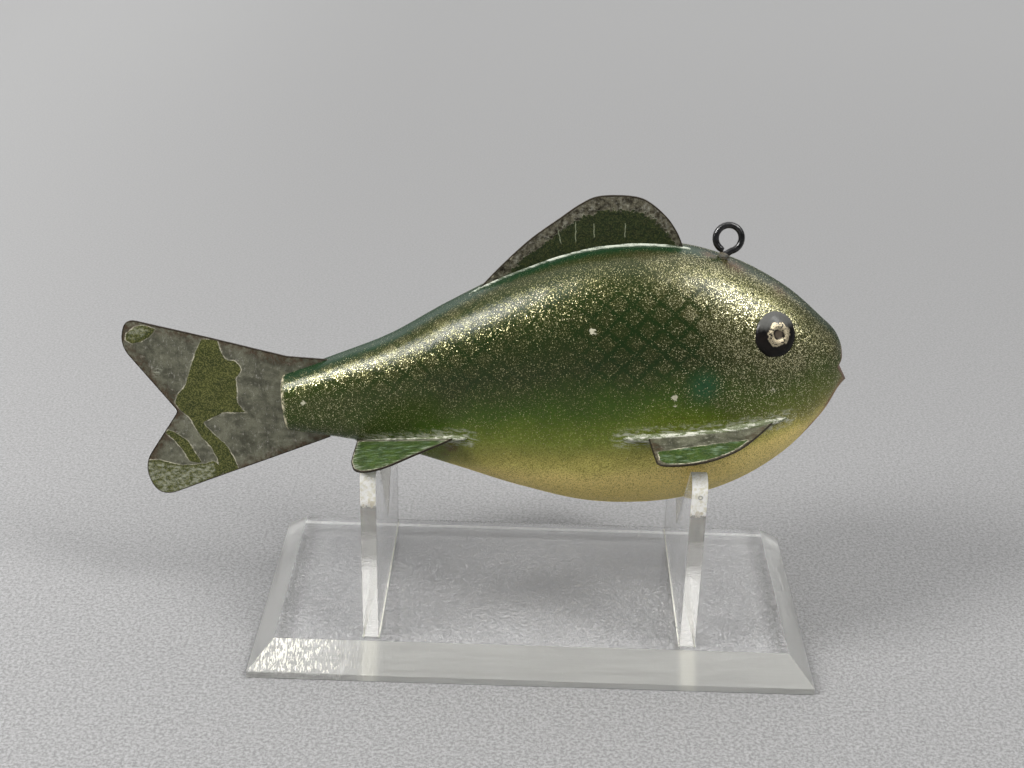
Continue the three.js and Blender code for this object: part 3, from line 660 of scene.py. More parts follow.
def paintSheet(name, paint):
    finish = Finish(name, ior=1.36)
    where, rim = finish.places(), finish.layer("fromRim")
    x, _, z = parts(where)
    cloud, grain = speckle(where, paint["mottle"], 5.0, 0.65), speckle(where, 0.9, 5.0, 0.65)
    fine = speckle(where, 4.0, 4.0, 0.7)
    ragged = grain * (2 * paint["ragged"]) - paint["ragged"]
    edge = finish.layer("paint") + ragged
    cover = ease(edge, -0.06, 0.06)
    # bare zinc, stained brown along the rim
    metal = blend(ease(cloud, 0.35, 0.65), paint["zinc"], paint["zincDark"])
    metal = blend(ease(grain, paint["pale"], paint["pale"] + 0.25, 0, 0.8), metal, sheetMarks["bloom"])
    metal = blend(ease(fine, 0.5, 0.35, 0, 0.45), metal, sheetMarks["pit"])
    scratch = ease(abs(speckle(where, 0.35, 2.0, 0.5, stretch=(2.6, 1, 0.5)) - 0.5), 0.012, 0.003)
    metal = blend(scratch * ease(grain, 0.46, 0.6, 0.1, 0.8), metal, sheetMarks["scratch"])
    stain = ease(rim + cloud * -6.0, 0.2, -2.6) * ease(grain, 0.36, 0.6)
    metal = blend(stain * paint["stained"], metal, paint["stain"])
    # green paint, with flake in it, and a pale broken lip where it has come off
    green = blend(ease(cloud, 0.3, 0.7), paint["green"], paint["greenDark"])
    green = blend(ease(flakeCells(where, 4.4)[2], 0.3, 1.0, 0, paint["flake"]), green, sheetMarks["flake"])
    streaky = speckle(where, 0.7, 5.0, 0.75, stretch=paint["streak"])
    green = blend(ease(streaky, 0.5, 0.66, 0, paint["streaks"]), green, sheetMarks["streak"])
    colour = blend(cover, metal, green)
    for start, end in paint["scratches"]:
        along = (z - start[1]) / (end[1] - start[1])
        off = abs(x - (along * (end[0] - start[0]) + start[0]) + (grain * 0.6 - 0.3))
        line = ease(off, 0.17, 0.05, 0, 0.8) * ease(abs(along - 0.5), 0.55, 0.4)
        colour = blend(line, colour, sheetMarks["line"])
    scraped = ease(finish.layer("worn") + ragged, -0.2, 0.5) * ease(streaky, paint["worn"], paint["worn"] + 0.26)
    colour = blend(scraped * 0.6, colour, sheetMarks["scraped"])
    lip = ease(abs(edge + 0.10), 0.2, 0.04) * paint["lip"]
    lip = lip * ease(speckle(where, 0.3, 4.0, 0.7, shift=(7, 3, 1)), 0.44, 0.58, 0.15, 1)
    colour = blend(lip, colour, sheetMarks["lip"])
    # painted shade: the cut edge and a thin band beside it are painted near black
    colour = blend(ease(rim + grain * -0.5, 0.16, -0.1), colour, sheetMarks["rim"])
    bare = calc("SUBTRACT", 1.0, largest(cover, scraped, lip), clamp=True)
    finish.give(colour=colour, metallic=bare * 0.7, roughness=ease(grain, 0.2, 0.8, 0.34, 0.62),
                normal=relief(cover * 0.10 + fine * 0.03 + cloud * 0.5, 0.7))
    return finish.material


dorsal = {
    "behindJaw": 42.7, "length": 49.2, "rise": 17.63, "bareEdge": 3.6,
    "edge": [(0, 0), (0.11, 0.28), (0.25, 0.582), (0.39, 0.798), (0.49, 0.942), (0.57, 1), (0.68, 0.951), (0.78, 0.852),
             (0.85, 0.696), (0.92, 0.468), (0.97, 0.233), (1, 0.026)],
    "scratches": [((0.385, 0.68), (0.405, 0.43)), ((0.4725, 0.71), (0.475, 0.41)), ((0.7125, 0.54), (0.715, 0.33)),
                  ((0.56, 0.63), (0.565, 0.42))],
}
dorsal["frontX"] = body["length"] - dorsal["behindJaw"]
dorsal["rearX"] = dorsal["frontX"] - dorsal["length"]
backLine = backAt(np.linspace(0, 1, 2000))


def backHeight(x):
    return np.interp(x, backLine[:, 0], backLine[:, 1])


# where the wood's back line passes under the fin's two ends
backFoot, backFront = (np.array([x, backHeight(x)]) for x in (dorsal["rearX"], dorsal["frontX"]))
oldPaint = {
    "zinc": (0.235, 0.235, 0.17), "zincDark": (0.10, 0.10, 0.072), "stain": (0.085, 0.05, 0.028), "stained": 0.8,
    "pale": 0.53, "green": (0.042, 0.050, 0.008), "greenDark": (0.020, 0.028, 0.004), "ragged": 0.34, "flake": 0.36,
    "lip": 0.9, "streaks": 0.0, "streak": (1, 1, 1.6), "mottle": 0.22, "worn": 0.40, "scratches": [],
}
tailPaint = paintSheet("zincWithPaintIslands", oldPaint)


def onDorsal(along, up):  # a place on the fin, from shares of its length and rise
    return backFoot + (backFront - backFoot) * along + [0, up * dorsal["rise"]]


backPaint = paintSheet("wornGreenSheet", {
    **oldPaint, "green": (0.012, 0.022, 0.004), "greenDark": (0.006, 0.012, 0.002), "zinc": (0.21, 0.195, 0.135),
    "pale": 0.45, "zincDark": (0.020, 0.017, 0.011), "stain": (0.05, 0.035, 0.02), "stained": 0.35, "ragged": 2.4,
    "flake": 0.12, "lip": 0.1, "mottle": 0.8,
    "scratches": [[(onDorsal(*end) + offset[[0, 2]]).tolist() for end in line] for line in dorsal["scratches"]],
})
sidePaint = paintSheet("scrapedGreenSheet", {
    **oldPaint, "green": (0.028, 0.060, 0.008), "greenDark": (0.010, 0.026, 0.006), "ragged": 0.5, "flake": 0.12,
    "streaks": 0.5, "streak": (0.35, 1.6, 1.6), "mottle": 0.3, "worn": 0.46,
})

tail = {
    "length": 39.4, "slotDepth": 11.8, "height": 48.5, "rise": -4.0, "cornerRadius": 6, "notchRadius": 1,
    "bow": 0.22,
    # corners of the fork as shares of the length, backwards from the wood, and of the height
    "bottomRoot": 0.365, "topRoot": 0.815, "topBend": (-0.04, 0.826), "upperTip": (0.975, 1.015),
    "upperLobe": (1.02, 0.865), "notch": (0.685, 0.49), "lowerLobe": (0.935, 0.17), "lowerTip": (0.86, -0.04),
    "paintIslands": [
        [(-19.7, 40.1), (-15.7, 40.0), (-15.1, 36.8), (-13.9, 34.6), (-11.6, 34.4), (-10.3, 32.8), (-10.2, 31.5),
         (-11.7, 29.7), (-11.5, 26.3), (-11.7, 22.9), (-10.4, 20.7), (-9.0, 20.0), (-15.4, 19.8), (-17.4, 18.7),
         (-19.5, 17.4), (-20.9, 16.6), (-17.4, 12.6), (-15.2, 10.4), (-13.4, 6.9), (-12.2, 3.0), (-16.3, 1.6),
         (-17.3, 4.5), (-17.8, 6.7), (-19.2, 9.8), (-21.4, 12.4), (-22.9, 15.5), (-24.1, 18.1), (-26.0, 19.8),
         (-27.6, 22.3), (-26.6, 24.8), (-24.7, 26.8), (-23.7, 29.8), (-22.7, 32.8), (-21.3, 36.7)],
        [(-29.9, 14.6), (-28.0, 13.6), (-25.0, 11.4), (-23.3, 7.9), (-21.7, 4.8), (-25.0, 5.4), (-26.7, 9.1),
         (-28.9, 12.0), (-30.6, 13.5)],
        [(-36.1, 42.9), (-34.0, 43.6), (-30.8, 42.6), (-32.5, 40.5), (-34.9, 39.0), (-36.9, 38.5), (-38.6, 39.3),
         (-38.4, 41.1)],
        [(-32.6, 5.6), (-29.8, 4.8), (-27.1, 4.2), (-24.3, 4.3), (-21.1, 4.8), (-18.7, 5.6), (-17.3, 4.5),
         (-16.3, 2.0), (-23.8, -1.5), (-29.2, -4.5), (-32.4, -4.6), (-37, -1), (-37.5, 2.5), (-36, 5.5)],
    ],
    "scraped": [
        [(-33, 5.2), (-29.8, 4.4), (-27.1, 3.8), (-24.3, 3.9), (-21.1, 4.4), (-18.7, 5.0), (-18.2, 1.6), (-23.8, -1.5),
         (-29.2, -4.5), (-32.4, -4.6), (-37, -1), (-37.5, 2.5), (-36, 5.0)],
        [(-33.7, 30.3), (-31.3, 32.3), (-29.7, 32.6), (-30.0, 30.9), (-31.5, 29.1), (-32.3, 29.5)],
        [(-37.5, 42.5), (-34.0, 43.2), (-31.8, 42.3), (-33.5, 40.9), (-35.9, 39.6), (-38.0, 39.6)],
    ],
}


def tailCorner(back, up):
    return -back * tail["length"], tail["rise"] + up * tail["height"]


def tailNet():
    slot = tail["slotDepth"] / tail["length"]
    bottomRoot, topRoot = tailCorner(-slot, tail["bottomRoot"]), tailCorner(-slot, tail["topRoot"])
    names = ("topBend", "upperTip", "upperLobe", "notch", "lowerLobe", "lowerTip")
    corners = [tailCorner(*tail[name]) for name in names] + [bottomRoot]
    rounds = [0.5 * tail["cornerRadius"], 0.6 * tail["cornerRadius"], tail["notchRadius"],
              0.7 * tail["cornerRadius"], tail["cornerRadius"]]
    outline = [np.array([bottomRoot, topRoot, corners[0]])]
    for step, distance in enumerate(rounds):
        outline.append(roundCorner(corners[step], corners[step + 1], corners[step + 2], distance))
    return np.concatenate(outline)


sheetPiece("tailFin", tailNet(), standing, tailPaint, "tail_fin", "bare_sheet",
           [("paint", tail["paintIslands"]), ("worn", tail["scraped"])],
           bow=lambda flat: tail["bow"] * np.sin(flat[:, 0] / 9) * np.clip(-flat[:, 0] / 20, 0, 1))


def dorsalNet():
    root = np.array([backFront, backFoot]) - [0, sheet["tangDepth"]]
    edge = [onDorsal(along, up) for along, up in dorsal["edge"]]
    return np.concatenate([root, throughPoints(edge, np.linspace(0, 1, 100))])


dorsalOutline = dorsalNet()
painted = [(x, z - dorsal["bareEdge"]) for x, z in dorsalOutline[2:]]
painted += [(dorsal["frontX"] - 3, 40), (dorsal["rearX"] + 8, 40)]
nowhere = [(0, -9), (1, -9), (1, -8)]  # off the sheet, so that none of it is scraped
sheetPiece("dorsalFin", dorsalOutline, standing, backPaint, "dorsal_fin", "painted_sheet",
           [("paint", [painted]), ("worn", [nowhere])])

frontFins = {
    "rearX": body["length"] - 49.6, "rootLength": 30.9, "height": 25.8, "pitch": 5.7, "tilt": -4, "reach": 14.4,
    "outline": [(0, 0), (0.03, 0.62), (0.06, 0.88), (0.2, 0.99), (0.37, 1), (0.53, 0.92), (0.69, 0.74), (0.84, 0.42),
                (1, 0)],
    "bareBand": 7.2, "bareRim": 0.7, "scrapedRim": 0.5,
}
rearFins = {
    "rearX": 19.4, "rootLength": 24.5, "height": 15.7, "pitch": 8.5, "tilt": 11, "reach": 26.6,
    "outline": [(0, 0), (0.04, 0.635), (0.08, 0.84), (0.125, 0.955), (0.215, 1), (0.34, 0.945), (0.47, 0.805),
                (0.655, 0.53), (0.86, 0.24), (1, 0.03)],
    "bareBand": 2.6, "bareRim": 0.6, "scrapedRim": 2.2,
}
bothSides = (("right", -1), ("left", 1))


def finRoot(fin):  # the two ends of the root, in the plane of the fin
    pitch, tilt = math.radians(fin["pitch"]), math.radians(fin["tilt"])
    slope = math.tan(tilt) / math.cos(pitch)
    rearY = skinHalfWidth(fin["rearX"], fin["height"])
    frontY = rearY
    for _ in range(20):
        frontZ = fin["height"] + math.tan(pitch) * fin["rootLength"] + slope * (frontY - rearY)
        frontY = skinHalfWidth(fin["rearX"] + fin["rootLength"], frontZ)
    frontV = (frontY - rearY) / math.cos(tilt)
    return rearY, fin["rootLength"] / math.cos(pitch) + frontV * math.sin(tilt) * math.tan(pitch), frontV


def layFin(fin, side):
    rearY = finRoot(fin)[0]
    pitch, tilt = math.radians(fin["pitch"]), side * math.radians(fin["tilt"])

    def lay(flat, lift):
        y = flat[:, 1] * math.cos(tilt) - lift * math.sin(tilt)
        z = flat[:, 1] * math.sin(tilt) + lift * math.cos(tilt)
        x = flat[:, 0] * math.cos(pitch) - z * math.sin(pitch)
        z = flat[:, 0] * math.sin(pitch) + z * math.cos(pitch)
        return np.stack([x, y, z], 1) + [fin["rearX"], side * rearY, fin["height"]]

    return lay


def sideFin(name, fin, side, node):
    _, frontU, frontV = finRoot(fin)
    edge = [(along * frontU, along * frontV + out * fin["reach"]) for along, out in fin["outline"]]
    curve = throughPoints(edge, np.linspace(0, 1, 90))
    slantEnd = sheet["tangSlant"] / frontU * frontV - sheet["tangDepth"]
    outline = np.concatenate([[(frontU, frontV - sheet["tangDepth"]), (sheet["tangSlant"], slantEnd)], curve])
    middle = np.array([frontU * 0.4, frontV * 0.4])
    painted = curve + (middle + [0, fin["reach"] / 2] - curve) / fin["reach"] * 2 * fin["bareRim"]
    painted = np.array([(u, max(v, u / frontU * frontV + fin["bareBand"])) for u, v in painted])
    strip = np.concatenate([curve, curve[::-1] + (middle - curve[::-1]) / fin["reach"] * 1.6 * fin["scrapedRim"]])
    flip = [1, side]
    sheetPiece(name, outline * flip, layFin(fin, side), sidePaint, node, "painted_sheet",
               [("paint", [painted * flip]), ("worn", [strip * flip])])


for word, side in bothSides:
    sideFin("pectoralFin." + word, frontFins, side, "pectoral_fin_" + word)
    sideFin("rearFin." + word, rearFins, side, "rear_fin_" + word)
print("fins")


def sweepTree(name, sides):  # the beads along the roots, the glue seams and the wire all follow a path
    tree = bpy.data.node_groups.new(name, "GeometryNodeTree")
    face = tree.interface
    face.new_socket("Path", in_out="INPUT", socket_type="NodeSocketGeometry")
    for label, value in (("Thickness", 1.0), ("Step", 0.3 * mm), ("Roughen", 0.0), ("Lump Size", 1.5 * mm)):
        face.new_socket(label, in_out="INPUT", socket_type="NodeSocketFloat").default_value = value
    face.new_socket("Finish", in_out="INPUT", socket_type="NodeSocketMaterial")
    face.new_socket("Geometry", in_out="OUTPUT", socket_type="NodeSocketGeometry")
    given = {socket.name: Field(socket) for socket in put(tree, "NodeGroupInput").outputs}
    girth = Field(put(tree, "GeometryNodeInputNamedAttribute", {"Name": "girth"}, data_type="FLOAT").outputs[0])
    line = put(tree, "GeometryNodeMeshToCurve", {"Mesh": given["Path"]}).outputs[0]
    line = put(tree, "GeometryNodeResampleCurve", {"Curve": line, "Length": given["Step"]}, mode="LENGTH").outputs[0]
    line = put(tree, "GeometryNodeSetCurveRadius", {"Curve": line, "Radius": girth * given["Thickness"]}).outputs[0]
    ring = put(tree, "GeometryNodeCurvePrimitiveCircle", {"Resolution": sides, "Radius": mm}).outputs[0]
    radius = put(tree, "GeometryNodeInputRadius").outputs[0]
    tube = put(tree, "GeometryNodeCurveToMesh",
               {"Curve": line, "Profile Curve": ring, "Scale": radius, "Fill Caps": True}).outputs[0]
    position = put(tree, "GeometryNodeInputPosition").outputs[0]
    lumps = put(tree, "ShaderNodeTexNoise", {"Vector": position, "Scale": 1.0 / given["Lump Size"]}).outputs["Fac"]
    outward = Field(put(tree, "GeometryNodeInputNormal").outputs[0])
    lift = vector("SCALE", outward, Scale=(Field(lumps) - 0.5) * given["Roughen"])
    moved = put(tree, "GeometryNodeSetPosition", {"Geometry": tube, "Offset": lift}).outputs[0]
    smooth = put(tree, "GeometryNodeSetShadeSmooth", {"Geometry": moved}).outputs[0]
    real = put(tree, "GeometryNodeRealizeInstances", {"Geometry": smooth}).outputs[0]
    done = put(tree, "GeometryNodeSetMaterial", {"Geometry": real, "Material": given["Finish"]}).outputs[0]
    put(tree, "NodeGroupOutput", {0: done})
    return tree


def sweep(name, path, girths, tree, settings, slot, *nodes):
    path = np.asarray(path, float) + offset
    mesh = bpy.data.meshes.new(name + ".path")
    mesh.from_pydata((path * mm).tolist(), [(step, step + 1) for step in range(len(path) - 1)], [])
    mesh.attributes.new("girth", "FLOAT", "POINT").data.foreach_set("value", np.asarray(girths, np.float32))
    holder = bpy.data.objects.new(name + ".path", mesh)
    collection.objects.link(holder)
    modifier = holder.modifiers.new("sweep", "NODES")
    modifier.node_group = tree
    for socket in tree.interface.items_tree:
        if socket.in_out == "INPUT" and socket.name in settings:
            modifier[socket.identifier] = settings[socket.name]
    keep(plainMesh(holder, name), slot, *nodes)


def puttyFinish(name, pale, dark, share, stretch=(0.4, 1, 2)):
    finish = Finish(name, ior=1.5)
    where = finish.places()
    streaks, grain = speckle(where, 0.8, 5.0, 0.7, stretch=stretch), speckle(where, 3.5, 4.0, 0.7)
    mix = ease(grain * 0.35 + streaks, share - 0.08, share + 0.08)
    finish.give(colour=blend(mix, dark, pale), roughness=ease(grain, 0.2, 0.8, 0.22, 0.5),
                normal=relief(streaks + grain * 0.4, 0.35))
    return finish.material


beadTree = sweepTree("beadAlongRoot", 14)
beads = {  # girth of the bead along the root, in millimetres, from before its rear end to past its front
    "pectoral": [(-6, 0.2), (-4, 0.8), (-1, 1.1), (2, 0.95), (9, 0.9), (18, 0.95), (24, 1.2), (29, 1.0), (34, 0.3)],
    "rear": [(-0.5, 0.3), (4, 0.45), (12, 0.5), (20, 0.6), (25, 1.0), (27.5, 0.7), (28.5, 0.25)],
    "dorsal": [(-2, 0.25), (2, 0.55), (15, 0.55), (26, 0.65), (38, 0.7), (46, 0.6), (51, 0.3)],
    # the pale streaks on both kinds of bead are partly whitish putty and worn paint, partly painted highlight along the
    # roots' gloss
    "rootLumps": {"Roughen": 0.5 * mm, "Lump Size": 1.6 * mm,
                  "Finish": puttyFinish("whitishPutty", (0.55, 0.55, 0.46), (0.10, 0.12, 0.05), 0.72)},
    "backLumps": {"Roughen": 0.3 * mm, "Lump Size": 5.0 * mm,
                  "Finish": puttyFinish("greenPaintBead", (0.50, 0.53, 0.44), (0.05, 0.07, 0.035), 0.66, (0.25, 1, 2))},
}


def rootPath(fin, girths):  # where the right fin comes out of the skin, from before its rear end to past its front
    lay, path, out = layFin(fin, -1), [], 0.0
    for along in np.linspace(girths[0][0], girths[-1][0], 48):
        for _ in range(5):
            x, y, z = lay(np.array([[along, -out]]), np.zeros(1))[0]
            out += skinHalfWidth(x, z) + y
        path.append((x, y, z))
    return np.array(path)


def rootBeads(name, fin, girths):
    path = rootPath(fin, girths)
    girth = np.interp(np.linspace(girths[0][0], girths[-1][0], len(path)), *zip(*girths))
    for word, side in bothSides:
        sweep(name + "." + word, path * [1, -side, 1], girth, beadTree, beads["rootLumps"], "painted_wood")
    return fromLine(skinPoints, path, closed=False)


fromRoot = np.minimum(rootBeads("pectoralPutty", frontFins, beads["pectoral"]),
                      rootBeads("rearPutty", rearFins, beads["rear"]))
woodBody.data.attributes.new("fromRoot", "FLOAT", "POINT").data.foreach_set("value", fromRoot.astype(np.float32))
alongs = np.linspace(beads["dorsal"][0][0], beads["dorsal"][-1][0], 80)
backX = dorsal["rearX"] + alongs
sweep("dorsalBead", np.stack([backX, 0 * backX, backHeight(backX) - 0.1], 1),
      np.interp(alongs, *zip(*beads["dorsal"])), beadTree, beads["backLumps"], "painted_wood")

screwEye = {
    "aheadOfFin": 9.6, "ringRadius": 3.15, "wireRadius": 0.8, "standoff": 0.9, "length": 11, "lean": 15,
    "ringTurn": (-58, 264), "neck": [(0, -1), (0, 0), (0.12, 0.62), (0.75, 1.15)],
    # girth at steps along the wire, from the point to the end of the ring, as a share of its radius
    "taper": [(0, 0.2), (12, 1), (250, 1), (259, 0.8)],
    "collarHeights": (-0.6, 0.75), "collarGirths": [(0, 1.5), (5, 1.45), (9, 1.05), (11, 0.6)],
}


def steelWire():
    finish = Finish("darkSteelWire", metallic=0.9, coat=0.6, coatRoughness=0.07)
    where = finish.places()
    cloud, grain = speckle(where, 0.5, 4.0), speckle(where, 5.0, 4.0, 0.7)
    colour = blend(ease(cloud, 0.35, 0.65), (0.012, 0.012, 0.012), (0.05, 0.05, 0.05))
    finish.give(colour=blend(ease(grain, 0.62, 0.75), colour, (0.05, 0.03, 0.02)),
                roughness=ease(grain, 0.3, 0.8, 0.16, 0.42), normal=relief(grain, 0.15))
    return finish.material


def wirePath():
    x = dorsal["frontX"] + screwEye["aheadOfFin"]
    slope = backHeight(x + 0.5) - backHeight(x - 0.5)
    radius = screwEye["ringRadius"]
    centre = screwEye["standoff"] + screwEye["wireRadius"] + radius
    turn = np.radians(np.linspace(*screwEye["ringTurn"], 70))
    ring = np.stack([radius * np.cos(turn), centre + radius * np.sin(turn)], 1)
    shank = np.array([(0, -screwEye["length"]), (0, -0.5 * screwEye["length"])] + screwEye["neck"])
    flat = throughPoints(np.concatenate([shank, ring]), np.linspace(0, 1, 260))
    lean, tip = math.radians(screwEye["lean"]), -math.atan(slope)
    y, z = flat[:, 1] * math.sin(lean), flat[:, 1] * math.cos(lean)
    return np.stack([flat[:, 0] * math.cos(tip) + z * math.sin(tip) + x, y,
                     z * math.cos(tip) - flat[:, 0] * math.sin(tip) + backHeight(x)], 1)


wire = wirePath()
taper = np.interp(range(len(wire)), *zip(*screwEye["taper"])) * screwEye["wireRadius"]
sweep("screwEye", wire, taper, sweepTree("bentWire", 20), {"Step": 0.18 * mm, "Finish": steelWire()}, "wire",
      "screw_eye")
onBack = [dorsal["frontX"] + screwEye["aheadOfFin"], 0, backHeight(wire[0, 0])]
wireFoot = wire[np.argmin(np.linalg.norm(wire - onBack, axis=1))]
low, high = screwEye["collarHeights"]
collarFinish = puttyFinish("darkPaintCollar", (0.10, 0.085, 0.055), (0.014, 0.016, 0.010), 0.66)
sweep("screwCollar", wireFoot + np.linspace([0, 0, low], [0.1, 0, high], 12),
      np.interp(range(12), *zip(*screwEye["collarGirths"])), beadTree,
      {"Roughen": 0.5 * mm, "Step": 0.12 * mm, "Lump Size": 1.2 * mm, "Finish": collarFinish}, "painted_wood")
print("beads and screw eye")

tack = {
    "behindJaw": 20.4, "belowBack": 8.9, "radius": 5.5, "dome": 2.4, "edge": 0.25, "seat": 0.8, "pitRadius": 1.3,
    "pitDepth": 0.35, "ringInner": 1.35, "ringOuter": 3.0, "ringRise": 0.16, "rounding": 0.05, "steps": 40,
    "segments": 96, "wobble": (0.012, 0.008), "dent": 0.05,
}


def tackFinish():
    finish = Finish("blackTackWornToBrass", coat=0.22, coatRoughness=0.22, specular=0.02)
    where, radius = finish.places(), finish.layer("fromAxis")
    grain, cloud = speckle(where, 1.6, 5.0, 0.7), speckle(where, 0.45, 3.0)
    ragged = cloud * 2.2 + (radius - 1.1)
    worn = ease(ragged, 1.2, 1.5) * ease(ragged, 3.05, 2.7) * ease(grain, 0.42, 0.52)
    colour = blend(ease(cloud, 0.3, 0.7), (0.004, 0.004, 0.004), (0.010, 0.008, 0.007))
    middle = offset[2] + backHeight(body["length"] - tack["behindJaw"]) - tack["belowBack"]
    # a painted sheen: the tack's top is painted grey where the lamps' reflection falls
    paintedSheen = ease(grain * 1.6 + parts(where)[2], middle + 2.0, middle + 3.8, 0, 0.75)
    colour = blend(paintedSheen, colour, (0.12, 0.12, 0.112))
    brass = blend(ease(grain, 0.45, 0.75), (0.62, 0.54, 0.37), (0.20, 0.145, 0.085))
    colour = blend(ease(radius, 1.3, 0.7), blend(worn, colour, brass), (0.075, 0.06, 0.045))
    finish.give(colour=colour, metallic=worn * 0.85, roughness=ease(worn, 0, 1, 0.16, 0.38),
                normal=relief(grain + worn * 0.6, 0.2))
    return finish.material


def tackProfile():  # radius and height of each ring of points, from under the head to the pit at its crown
    full, rounding, dome, pit = tack["radius"], tack["rounding"], tack["dome"], tack["pitRadius"]
    rows = [(0.0, -tack["seat"]), (0.8 * full, -tack["seat"]), (full - rounding, 0), (full, rounding),
            (full, tack["edge"] - rounding)]
    for step in range(1, tack["steps"]):
        angle = math.pi / 2 * step / tack["steps"]
        radius = pit + (full - pit) * math.cos(angle)
        height = tack["edge"] + (dome - tack["edge"]) * math.sin(angle)
        span = (radius - tack["ringInner"]) / (tack["ringOuter"] - tack["ringInner"])
        pressed = max(0.0, math.sin(math.pi * span)) if 0 < span < 1 else 0
        rows.append((radius, height + tack["ringRise"] * pressed - 0.1))
    floorHeight = dome - tack["pitDepth"]
    return rows + [(pit, dome - 0.1), (0.85 * pit, dome - 0.3), (0.6 * pit, floorHeight), (0.0, floorHeight)]


def tackEye(name, side, node, finish):
    rows, count = tackProfile(), tack["segments"]
    x = body["length"] - tack["behindJaw"]
    z = backHeight(x) - tack["belowBack"]
    alongX = skinHalfWidth(x + 0.5, z) - skinHalfWidth(x - 0.5, z)
    alongZ = skinHalfWidth(x, z + 0.5) - skinHalfWidth(x, z - 0.5)
    normal = np.array([-alongX, side, -alongZ])
    normal /= np.linalg.norm(normal)
    first = np.cross(normal, [0, 0, 1])
    first /= np.linalg.norm(first)
    second = np.cross(normal, first)
    seat = np.array([x, side * skinHalfWidth(x, z), z]) - normal * tack["seat"]
    points, radii, faces = [], [], []
    slow, fast = tack["wobble"]
    for radius, height in rows[1:-1]:
        for step in range(count):
            turn = 2 * math.pi * step / count
            wobble = 1 + slow * math.sin(3 * turn + 1) + fast * math.sin(7 * turn)
            dent = tack["dent"] * math.sin(2 * turn + 0.6) * max(0.0, 1 - radius / tack["radius"])
            around = first * math.cos(turn) + second * math.sin(turn)
            points.append(seat + normal * (height + dent) + radius * wobble * around)
            radii.append(radius)
    rings = len(rows) - 2
    for lower in range(0, (rings - 1) * count, count):
        upper = lower + count
        for step in range(count):
            beside = (step + 1) % count
            faces.append((lower + step, lower + beside, upper + beside, upper + step))
    for ring, (_, height) in ((0, rows[0]), (rings - 1, rows[-1])):
        points.append(seat + normal * height)
        radii.append(0.0)
        for step in range(count):
            corner = (ring * count + step, ring * count + (step + 1) % count, len(points) - 1)
            faces.append(corner if ring else corner[::-1])
    piece = addPiece(name, np.array(points) + offset, faces, [finish], sharp=60, layers={"fromAxis": radii})
    if piece.data.polygons[len(faces) - 1].normal.dot(Vector(normal)) < 0:
        piece.data.flip_normals()
    keep(piece, "tack", node)


blackTack = tackFinish()
for word, side in bothSides:
    tackEye("eyeTack." + word, side, "eye_" + word, blackTack)
print("eyes")

stand = {
    "length": 141.5, "height": 7.9, "lip": 1.8, "bevel": 6.2, "margin": 1.5, "thickness": 3.9, "uprightHeight": 47.3,
    "headX": 39.2, "tailX": -40.2, "prongRadius": 4, "prongReach": 9.4, "glueLine": 0.02, "notchFoot": 26.77,
    "notchSlope": 1.2655, "edgeRound": 0.18, "edgeSteps": 2, "edgeAngle": 25, "bubbleHeight": 50.9,
    "bubbleRadius": 0.45,
    "frost": (46.5, 48.5), "smearFrom": (42, 45), "smearTo": (48.5, 46), "seamGirth": 0.2, "seamRise": 0.05,
}
stand["depth"] = body["thickness"] + 2 * stand["prongReach"]


def acrylic(name, roughness, colour=(1.0, 1.0, 0.985), transmission=1.0):
    return Finish(name, colour=colour, roughness=roughness, ior=1.49, transmission=transmission)


def clearFinish():
    finish = acrylic("clearAcrylic", 0.015, transmission=0.95)
    where = finish.places()
    x, y, z = parts(where)
    dusty = speckle(where, 1.3, 4.0, 0.8)
    level = ease(z, stand["height"] + 0.4, stand["height"] + 0.1)
    # the top's far edge catches the light, and beside the ends' bevels it looks dark
    farEdge = ease(abs(y - (stand["depth"] / 2 + stand["margin"] + 2.2)), 1.0, 0.5) * level
    farEdge = farEdge * ease(dusty, 0.3, 0.6, 0.6, 0.85)
    besideEnd = (stand["length"] / 2 - stand["bevel"]) - abs(x)
    besideEnd = ease(besideEnd, 5.5, 2) * ease(besideEnd, 0, 1) * level
    tint = blend(besideEnd * 0.5, ease(dusty, 0.35, 0.65, 0.92, 1.0), (0.58, 0.58, 0.57))
    finish.give(colour=blend(farEdge, tint, (1.0, 1.0, 0.98)), normal=relief(speckle(where, 0.05, 3.0), 0.03),
                roughness=ease(speckle(where, 0.8, 5.0, 0.8), 0.66, 0.9, 0.012, 0.2),
                transmission=ease(dusty, 0.4, 0.66, 0.97, 0.76) * (1.0 - farEdge))
    return finish.material


def sawnFinish():
    finish = acrylic("sawnAcrylic", 0.3, (0.98, 0.975, 0.94), 0.94)
    where = finish.places()
    _, y, z = parts(where)
    rough = speckle(where, 1.1, 5.0, 0.7)
    frost = ease(rough * 3.0 + z, *stand["frost"])
    smeared = ease(z, *stand["smearFrom"]) * ease(z, *stand["smearTo"]) * ease(rough, 0.42, 0.6, 0, 0.5)
    milky = blend(frost * ease(rough, 0.42, 0.62), (0.93, 0.92, 0.88), (0.74, 0.71, 0.58))
    milky = blend(smeared, milky, (0.30, 0.22, 0.12))
    # a bubble shows near the top of the prong under the head
    fromBubble = vector("SUBTRACT", where, (stand["headX"] + 0.2, 0, stand["bubbleHeight"]))
    fromBubble = vector("LENGTH", vector("MULTIPLY", fromBubble, (1, 0, 1)))
    bubble = ease(abs(fromBubble - stand["bubbleRadius"]), 0.25, 0.08, 0, 0.7) * (y < 0.0)
    saw = speckle(where, 0.9, 4.0, 0.6, stretch=(0.3, 1, 2.5))
    finish.give(colour=blend(bubble, milky, (0.22, 0.21, 0.18)), normal=relief(frost * rough + saw, 0.12),
                roughness=frost * 0.5 + ease(rough, 0.3, 0.7, 0.04, 0.16),
                transmission=ease(frost, 0.0, 1.0, 0.95, 0.2))
    return finish.material


